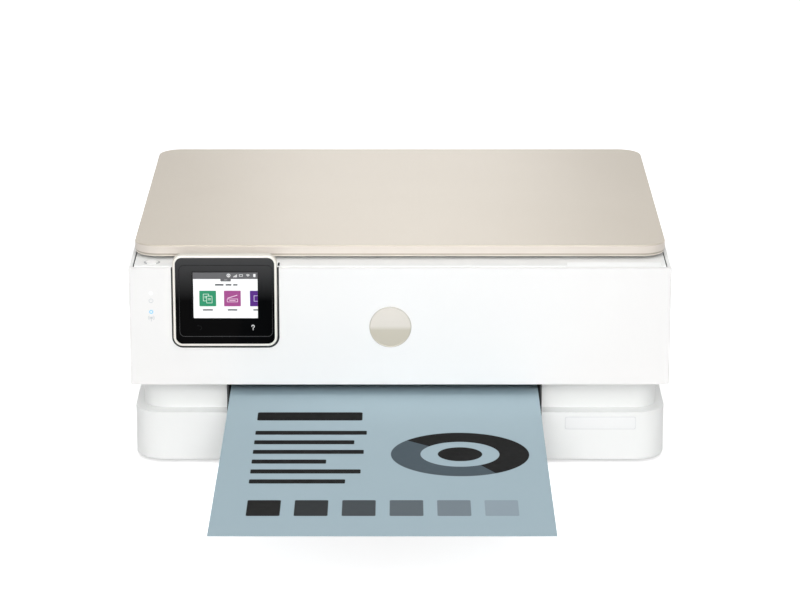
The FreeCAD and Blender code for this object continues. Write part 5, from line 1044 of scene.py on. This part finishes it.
    def print_screen(self) -> None:
        """Light the screen: its white page, the signs, and a black border at the left and the top."""
        page = Bar(0.7, -0.1, 27.45, 20.1, self.white, 0.7)
        border = (Bar(-28.7, 0.0, 1.6, 22.0, self.black), Bar(0.0, 21.5, 30.0, 1.4, self.black))
        marks = [page, *self.status_marks(), *self.tile_marks(), *border]
        self.maker.paint("display", SCREEN_FINISH, Print(Face.middle(Plane.FRONT, "display"), marks))

    def print_housing(self) -> None:
        """Give the housing a cream rim round its front: the trim's colour with a painted highlight on
        its front edge.
        """
        front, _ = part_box("panel_housing")
        half, ahead, tall = self.rim_depth / 2, 0.5, 200.0
        # Cream band on the front face: trim colour and painted highlight together.
        rim = Bar(half - ahead, 0.0, half + ahead, tall, self.cream_and_highlight, soft=0.4)
        self.maker.paint("panel_housing", PANEL_FINISH, Print(Face(Plane.SIDE, tuple(front)), [rim]))

    def print_glass(self) -> None:
        """Print the question mark and the back arrow on the touch glass, under a painted reflection that
        fades down from the top.
        """
        ink, faint = self.sign_white, self.faint
        ask, back = 23.6, -21.8
        marks = (
            # Painted reflection over the upper glass.
            Bar(0.0, 40.0, 60.0, 22.0, self.glass_painted_reflection, soft=46.0),
            Arc(ask, -27.5, 1.05, 0.3, ink, 62.0, 128.0),
            Bar(ask, -29.2, 0.3, 0.6, ink, 0.2),
            Arc(ask, -30.5, 0.18, 0.2, ink),
            Arc(back, -28.8, 1.7, 0.26, faint, 0.0, 95.0),
            Bar(back - 0.8, -27.1, 0.9, 0.26, faint, 0.1),
            Bar(back - 1.5, -26.7, 0.26, 0.8, faint, 0.1, 45.0),
        )
        face = Face.middle(Plane.FRONT, "display")
        self.maker.paint("touch_glass", FINISHES["black_gloss"], Print(face, marks), "_signs")


@dataclass
class PaperPath(Assembly):
    """The printed sheet, and the ink cartridges' coloured labels."""

    ink: Colour = (5, 5, 5)
    half_ink: Colour = (74, 86, 94)
    soft: float = 0.4
    chart: tuple[float, float] = (62.0, 200.0)
    chart_radius: float = 44.0
    chart_half: float = 12.0
    left_margin: float = -106.0
    first_line: float = 256.0
    line_pitch: float = 25.0
    line_halves: tuple[float, ...] = (46.0, 41.0, 45.0, 30.0, 44.0, 38.0)
    swatches: int = 6
    swatch_start: float = -92.0
    swatch_pitch: float = 36.8
    swatch_row: float = 66.0
    swatch_dark: int = 16
    swatch_step: Colour = (26, 29, 31)
    label_pitch: float = 9.0

    def build(self) -> None:
        """Print the sheet and label the cartridges."""
        low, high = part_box("printed_sheet")
        face = Face(Plane.TOP, ((low.x + high.x) / 2, low.y, 0.0))
        page = Print(face, self.sheet_marks())
        self.maker.paint("printed_sheet", FINISHES["printed_paper"], page, "_page")
        self.label("black_cartridge", (70, 70, 72))
        self.label("color_cartridge", (40, 150, 190), (196, 60, 128), (226, 198, 60))

    def sheet_marks(self) -> list[Mark]:
        """Lay out a plain report page: a heading, lines, a ring chart and a row of swatches.

        Returns:
            The marks, the lowest layer first.
        """
        ink, soft = self.ink, self.soft
        marks: list[Mark] = [
            Bar(-62.0, 300.0, 44.0, 11.0, ink, 2.0, soft=soft),
            Arc(*self.chart, self.chart_radius, self.chart_half, self.half_ink, soft=soft),
            Arc(*self.chart, self.chart_radius, self.chart_half, ink, 40.0, 100.0, soft=soft),
            Arc(*self.chart, 9.0, 9.0, ink, soft=soft),
        ]
        for row, half in enumerate(self.line_halves):
            y = self.first_line - self.line_pitch * row
            marks.append(Bar(self.left_margin + half, y, half, 5.2, ink, 1.2, soft=soft))
        for step in range(self.swatches):
            tone = tuple(self.swatch_dark + rise * step for rise in self.swatch_step)
            x = self.swatch_start + self.swatch_pitch * step
            marks.append(Bar(x, self.swatch_row, 13.0, 19.0, tone, 1.5, soft=soft))
        return marks

    def label(self, cartridge: str, *colours: Colour) -> None:
        """Label a cartridge with one stripe for each of its inks.

        Args:
            cartridge: Its node.
            colours: The stripes' colours, from the left.
        """
        pitch = self.label_pitch
        start = -pitch * (len(colours) - 1) / 2
        stripes = [Bar(start + pitch * i, 0.0, 3.6, 9.0, tone, 1.2) for i, tone in enumerate(colours)]
        printed = Print(Face.middle(Plane.TOP, cartridge), stripes)
        self.maker.paint(cartridge, FINISHES["dark_plastic"], printed, "_" + cartridge)


@dataclass
class Lid(Assembly):
    """The champagne lid, with painted shading on its sides and a painted shade line for the fine groove
    above its lower lip; heights are from its foot.
    """

    height: float = 9.8
    edge: float = 1.1
    bevel: float = 0.15
    groove_middle: float = 1.75
    groove_half: float = 0.7
    all_round: float = 1000.0
    # Painted shade in the groove, painted shading on the side band, and a painted highlight on the lip.
    groove_shade: Colour = (176, 167, 153)
    rim: Colour = (222, 214, 205)
    lip_highlight: Colour = (228, 220, 209)

    def build(self) -> None:
        """Paint shading on the side band, a highlight on the lip, and a shade line for the groove
        between them, all round the lid.
        """
        rim_half = (self.height - self.edge) / 2
        lip_half = (self.groove_middle - self.groove_half) / 2
        # Painted shading on the sides, a painted highlight on the lip, and painted shade in the groove.
        lines = (
            Bar(0.0, rim_half, self.all_round, rim_half, self.rim, soft=0.6),
            Bar(0.0, lip_half, self.all_round, lip_half, self.lip_highlight, soft=0.2),
            Bar(0.0, self.groove_middle, self.all_round, self.groove_half, self.groove_shade, soft=0.4),
        )
        low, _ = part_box("scanner_lid")
        satin = replace(FINISHES["champagne_plastic"], edge=self.bevel)
        self.maker.paint("scanner_lid", satin, Print(Face(Plane.FRONT, tuple(low)), lines), "_lid")


@dataclass
class ScannerModule(Assembly):
    """The scanner under the lid: its dark well, the scan bar's lens strip, and small dark pieces that
    stand in for the shade in the ledge's gaps.
    """

    shell_wall: float = 3.0 * MM
    # A dark strip that stands in for the shade in the gap at each side of the module.
    strip_size: Point = (0.8 * MM, 362.0 * MM, 1.8 * MM)
    strip_corner: float = 0.36 * MM
    strip_edge: float = 0.24 * MM
    strip_sink: float = 0.9 * MM
    # A dark pad that stands in for the shade in the ledge's notch beside the panel.
    notch_shade_size: Point = (1.6 * MM, 9.4 * MM, 0.3 * MM)
    notch_shade_corner: float = 0.48 * MM
    notch_shade_edge: float = 0.12 * MM
    notch_shade_gap: float = 0.35 * MM
    tub_wall: float = 2.5 * MM
    well_lap: float = 0.1 * MM
    well_floor: float = 2.25 * MM
    well_colour: Colour = (46, 47, 49)
    lens_offset: float = 2.0
    slit: Colour = (18, 18, 19)
    lens: Colour = (226, 231, 233)

    def build(self) -> None:
        """Model the dark pieces that stand in for shade in the gaps, and print the well and the scan
        bar.
        """
        self.build_gap_shade_strips()
        self.build_notch_shade_pad()
        self.print_well()
        self.print_scan_bar()

    def build_gap_shade_strips(self) -> None:
        """Lay a dark strip in the gap on each side of the module, on the shell's inner wall, standing in
        for the gap's shade.
        """
        low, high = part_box("body_shell")
        width, length, tall = self.strip_size
        both = bmesh.new()
        for side in (-1.0, 1.0):
            strip = self.maker.rounded_plate(width, length, self.strip_corner, tall, self.strip_edge)
            x = side * (high.x - self.shell_wall - width / 2)
            place = Vector((x, (low.y + high.y) / 2, high.z - self.strip_sink - tall))
            bmesh.ops.translate(strip, vec=place, verts=strip.verts)
            self.maker.take(strip, both)
        self.maker.settle("gap_shade_strips", both, "root", "rubber")

    def build_notch_shade_pad(self) -> None:
        """Set a small dark pad on the ledge beside the control panel, standing in for the shade in the
        notch there.
        """
        low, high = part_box("scanner_top_frame")
        _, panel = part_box("panel_housing")
        width, length, tall = self.notch_shade_size
        notch_shade_pad = self.maker.rounded_plate(width, length, self.notch_shade_corner, tall, self.notch_shade_edge)
        x = panel.x + self.notch_shade_gap + width / 2
        y = low.y + self.notch_shade_gap + length / 2
        bmesh.ops.translate(notch_shade_pad, vec=(x, y, high.z), verts=notch_shade_pad.verts)
        self.maker.settle("ledge_notch_shade", notch_shade_pad, "scanner", "rubber")

    def print_well(self) -> None:
        """Darken the well under the glass, inside the tub's walls and above its floor."""
        low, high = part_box("scanner_base")
        width, length, _ = ((high - low) / 2 - Vector.Fill(3, self.tub_wall - self.well_lap)) / MM
        well = Well(0.0, 0.0, width, length, self.well_colour, above=low.z + self.well_floor)
        printed = Print(Face.middle(Plane.TOP, "scanner_base"), [well])
        self.maker.paint("scanner_base", FINISHES["white_plastic"], printed, "_tub")

    def print_scan_bar(self) -> None:
        """Draw the scan bar's dark slit, and the lens strip in it."""
        low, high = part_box("scan_bar")
        reach = (high.y - low.y) / MM / 2
        marks = (
            Bar(self.lens_offset, 0.0, 3.0, reach - 4.0, self.slit, 0.6),
            Bar(self.lens_offset, 0.0, 1.5, reach - 5.0, self.lens, 0.4),
        )
        printed = Print(Face.middle(Plane.TOP, "scan_bar"), marks)
        self.maker.paint("scan_bar", FINISHES["dark_plastic"], printed, "_scan_bar")


@dataclass
class LidPad(Assembly):
    """The soft white pad under the lid that holds a page on the glass."""

    columns: int = 32
    rows: int = 24
    crown: float = 0.5 * MM
    flatness: int = 6
    edge: float = 0.6 * MM
    crease: float = 0.9

    def build(self) -> None:
        """Model the pad with a crowned face and edges that pull in."""
        low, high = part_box("lid_pad")
        size = high - low
        shape = self.maker.sheet(size.x, size.y, self.columns, self.rows)
        self.maker.thicken(shape, size.z)
        for vert in shape.verts:
            across = 1 - abs(2 * vert.co.x / size.x) ** self.flatness
            along = 1 - abs(2 * vert.co.y / size.y) ** self.flatness
            if vert.co.z < size.z / 2:
                vert.co.z += self.crown * (1 - across * along)
        rim = [e for e in shape.edges if e.is_manifold and e.calc_face_angle(0.0) > self.crease]
        self.maker.round_off(shape, rim, self.edge, self.maker.EDGE_STEPS)
        place = Vector((*((low + high) / 2).xy, low.z))
        bmesh.ops.translate(shape, vec=place, verts=shape.verts)
        pad = self.maker.settle("backing_pad", shape, "lid", "white_foam")
        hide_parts("lid_pad")


@dataclass
class Underside(Assembly):
    """The case screws under the base."""

    head_radius: float = 3.6 * MM
    head_height: float = 1.4 * MM
    head_steps: int = 24
    head_smooth: float = 30.0
    # The socket's floor and wall, the domed top and the side, as shares of radius and height.
    head_profile: Profile = (
        (0.0, 0.45), (0.42, 0.45), (0.46, 1.0), (0.8, 0.92), (1.0, 0.5), (1.0, 0.0), (0.0, 0.0),
    )
    inset: float = 70.0 * MM

    def build(self) -> None:
        """Turn six screw heads with a socket and set them under the base."""
        low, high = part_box("base_housing")
        columns = (low.x + self.inset, high.x - self.inset)
        rows = (low.y + self.inset, (low.y + high.y) / 2, high.y - self.inset)
        joined = bmesh.new()
        size = (self.head_radius, self.head_height)
        for x, y in product(columns, rows):
            head = self.maker.turned(self.head_profile, *size, self.head_steps)
            place = Matrix.Translation((x, y, low.z)) @ Matrix.Rotation(math.pi, 4, "X")
            bmesh.ops.transform(head, matrix=place, verts=head.verts)
            self.maker.take(head, joined)
        screws = self.maker.material(SCREW_FINISH)
        self.maker.settle("case_screws", joined, "root", "steel", screws, self.head_smooth)


@dataclass(frozen=True)
class SoftBox:
    """One soft box of the studio, turned to the printer."""

    name: str
    place: Point
    size: tuple[float, float]
    power: float
    spread: float = 180.0
    aim: Point = (0.0, 0.0, 0.12)

    def hang(self) -> None:
        """Hang the box and turn it to the printer."""
        lamp = bpy.data.lights.new(self.name, "AREA")
        lamp.shape = "RECTANGLE"
        lamp.size, lamp.size_y = self.size
        lamp.energy = self.power
        lamp.spread = math.radians(self.spread)
        box = bpy.data.objects.new(self.name, lamp)
        box.location = self.place
        toward = Vector(self.aim) - Vector(self.place)
        box.rotation_euler = toward.to_track_quat("-Z", "Y").to_euler()
        box.visible_camera = False
        bpy.context.scene.collection.objects.link(box)


@dataclass
class Studio:
    """The camera of the photograph, the pale floor, the soft lights and the white surround."""

    focal: float = 3384.28
    frame_width: float = 800.0
    sensor: float = 36.0
    pitch: float = 16.23
    back: float = 2.75799
    height: float = 0.95344
    far: float = 60.0
    ambient: float = 0.29
    white: Shade = (1.0, 1.0, 1.0, 1.0)
    floor_colour: Shade = (0.9, 0.9, 0.9, 1.0)
    floor_size: float = 30.0
    floor_share: float = 0.36
    floor_glow: float = 2.4
    mirrored_share: float = 0.9
    # Painted contact shadow: the floor's glow dims where ambient occlusion finds the printer within this
    # reach.
    contact_reach: float = 5.0 * MM
    contact_glow: float = 0.4
    contact_samples: int = 4
    lamps: tuple[SoftBox, ...] = (
        SoftBox("key_box", (0.0, -1.55, 1.3), (1.6, 1.0), 4.7, 100.0),
        SoftBox("front_box", (0.0, -1.1, 0.5), (0.7, 0.4), 0.52, 42.0),
        SoftBox("top_box", (0.0, 0.0, 1.6), (1.6, 1.0), 6.8),
        SoftBox("rear_box", (0.0, 2.4, 0.85), (0.5, 0.5), 1.55),
        SoftBox("rear_left_box", (-2.2, 2.0, 0.9), (2.0, 1.4), 10.5),
        SoftBox("rear_right_box", (2.2, 2.0, 0.9), (2.0, 1.4), 10.5),
    )

    def place_camera(self) -> None:
        """Put the camera where the photograph was taken from."""
        lens = bpy.data.cameras.new("photo_camera")
        lens.sensor_width = self.sensor
        lens.lens = self.focal / self.frame_width * self.sensor
        lens.clip_end = self.far
        camera = bpy.data.objects.new("photo_camera", lens)
        low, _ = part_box("front_panel")
        camera.location = (0.0, low.y - self.back, self.height)
        camera.rotation_euler = (math.radians(90 - self.pitch), 0.0, 0.0)
        bpy.context.scene.collection.objects.link(camera)
        bpy.context.scene.camera = camera

    @staticmethod
    def seen(graph: Graph) -> Socket:
        """Tell which rays show the surround itself.

        Args:
            graph: The tree to add to.

        Returns:
            1 on camera, mirror and see-through rays, and 0 on others.
        """
        path = graph.add("ShaderNodeLightPath").outputs
        mirror = graph.math("MAXIMUM", path["Is Camera Ray"], path["Is Glossy Ray"])
        return graph.math("MAXIMUM", mirror, path["Is Transmission Ray"])

    def floor_material(self) -> Material:
        """Make the floor white to the camera, with the soft shadow and a fine painted contact shadow.

        Returns:
            The floor's material.
        """
        material = bpy.data.materials.new("studio_floor")
        material.use_nodes = True
        graph = Graph(material.node_tree)
        lit = graph.add("ShaderNodeBsdfDiffuse", {"Color": self.floor_colour})
        direct = graph.add("ShaderNodeLightPath").outputs["Is Camera Ray"]
        reach = {"Distance": self.contact_reach}
        # Painted contact shadow: ambient occlusion dims the floor's glow near the printer.
        contact_shadow = graph.add("ShaderNodeAmbientOcclusion", reach, samples=self.contact_samples)
        open_share = graph.spread(contact_shadow.outputs["AO"], self.contact_glow, 1.0)
        strength = graph.math("MULTIPLY", graph.spread(direct, 1.0, self.floor_glow), open_share)
        glow = graph.add("ShaderNodeEmission", {"Strength": strength})
        glow_share = graph.spread(direct, self.mirrored_share, self.floor_share)
        share = graph.math("MULTIPLY", self.seen(graph), glow_share)
        blend = graph.add("ShaderNodeMixShader", {0: share, 1: lit.outputs[0], 2: glow.outputs[0]})
        graph.fill(material.node_tree.nodes["Material Output"], {"Surface": blend.outputs[0]})
        return material

    def lay_floor(self) -> None:
        """Lay the white floor."""
        shape = Modeller.sheet(self.floor_size, self.floor_size)
        mesh = bpy.data.meshes.new("floor")
        shape.to_mesh(mesh)
        shape.free()
        mesh.materials.append(self.floor_material())
        floor = bpy.data.objects.new("floor", mesh)
        bpy.context.scene.collection.objects.link(floor)

    def set_light(self) -> None:
        """Hang the soft boxes, and light the rest with an even white surround."""
        world = bpy.data.worlds.new("surround")
        world.use_nodes = True
        bpy.context.scene.world = world
        graph = Graph(world.node_tree)
        strength = graph.spread(self.seen(graph), self.ambient, 1.0)
        graph.fill(world.node_tree.nodes["Background"], {"Color": self.white, "Strength": strength})
        for lamp in self.lamps:
            lamp.hang()

    def build(self) -> None:
        """Set up the camera, floor and lights."""
        self.place_camera()
        self.lay_floor()
        self.set_light()
        bpy.context.scene.view_settings.view_transform = "Standard"


def main() -> None:
    """Set up the studio, dress the frame and build the sub-assemblies in order."""
    logging.basicConfig(level=logging.INFO, format="%(name)s: %(message)s")
    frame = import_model()
    Studio().build()
    maker = Modeller(frame["nodes"])
    for part in frame["record"]["subparts"]:
        maker.dress(part["node"], maker.material(FINISHES[part["material_slot"]]))
    for assembly in (FrontTrim, ControlPanel, PaperPath, Lid, ScannerModule, LidPad, Underside):
        assembly(maker).build()
    LOG.info("%d pieces: %s", len(maker.pieces), ", ".join(maker.pieces))


if __name__ == "__main__":
    main()
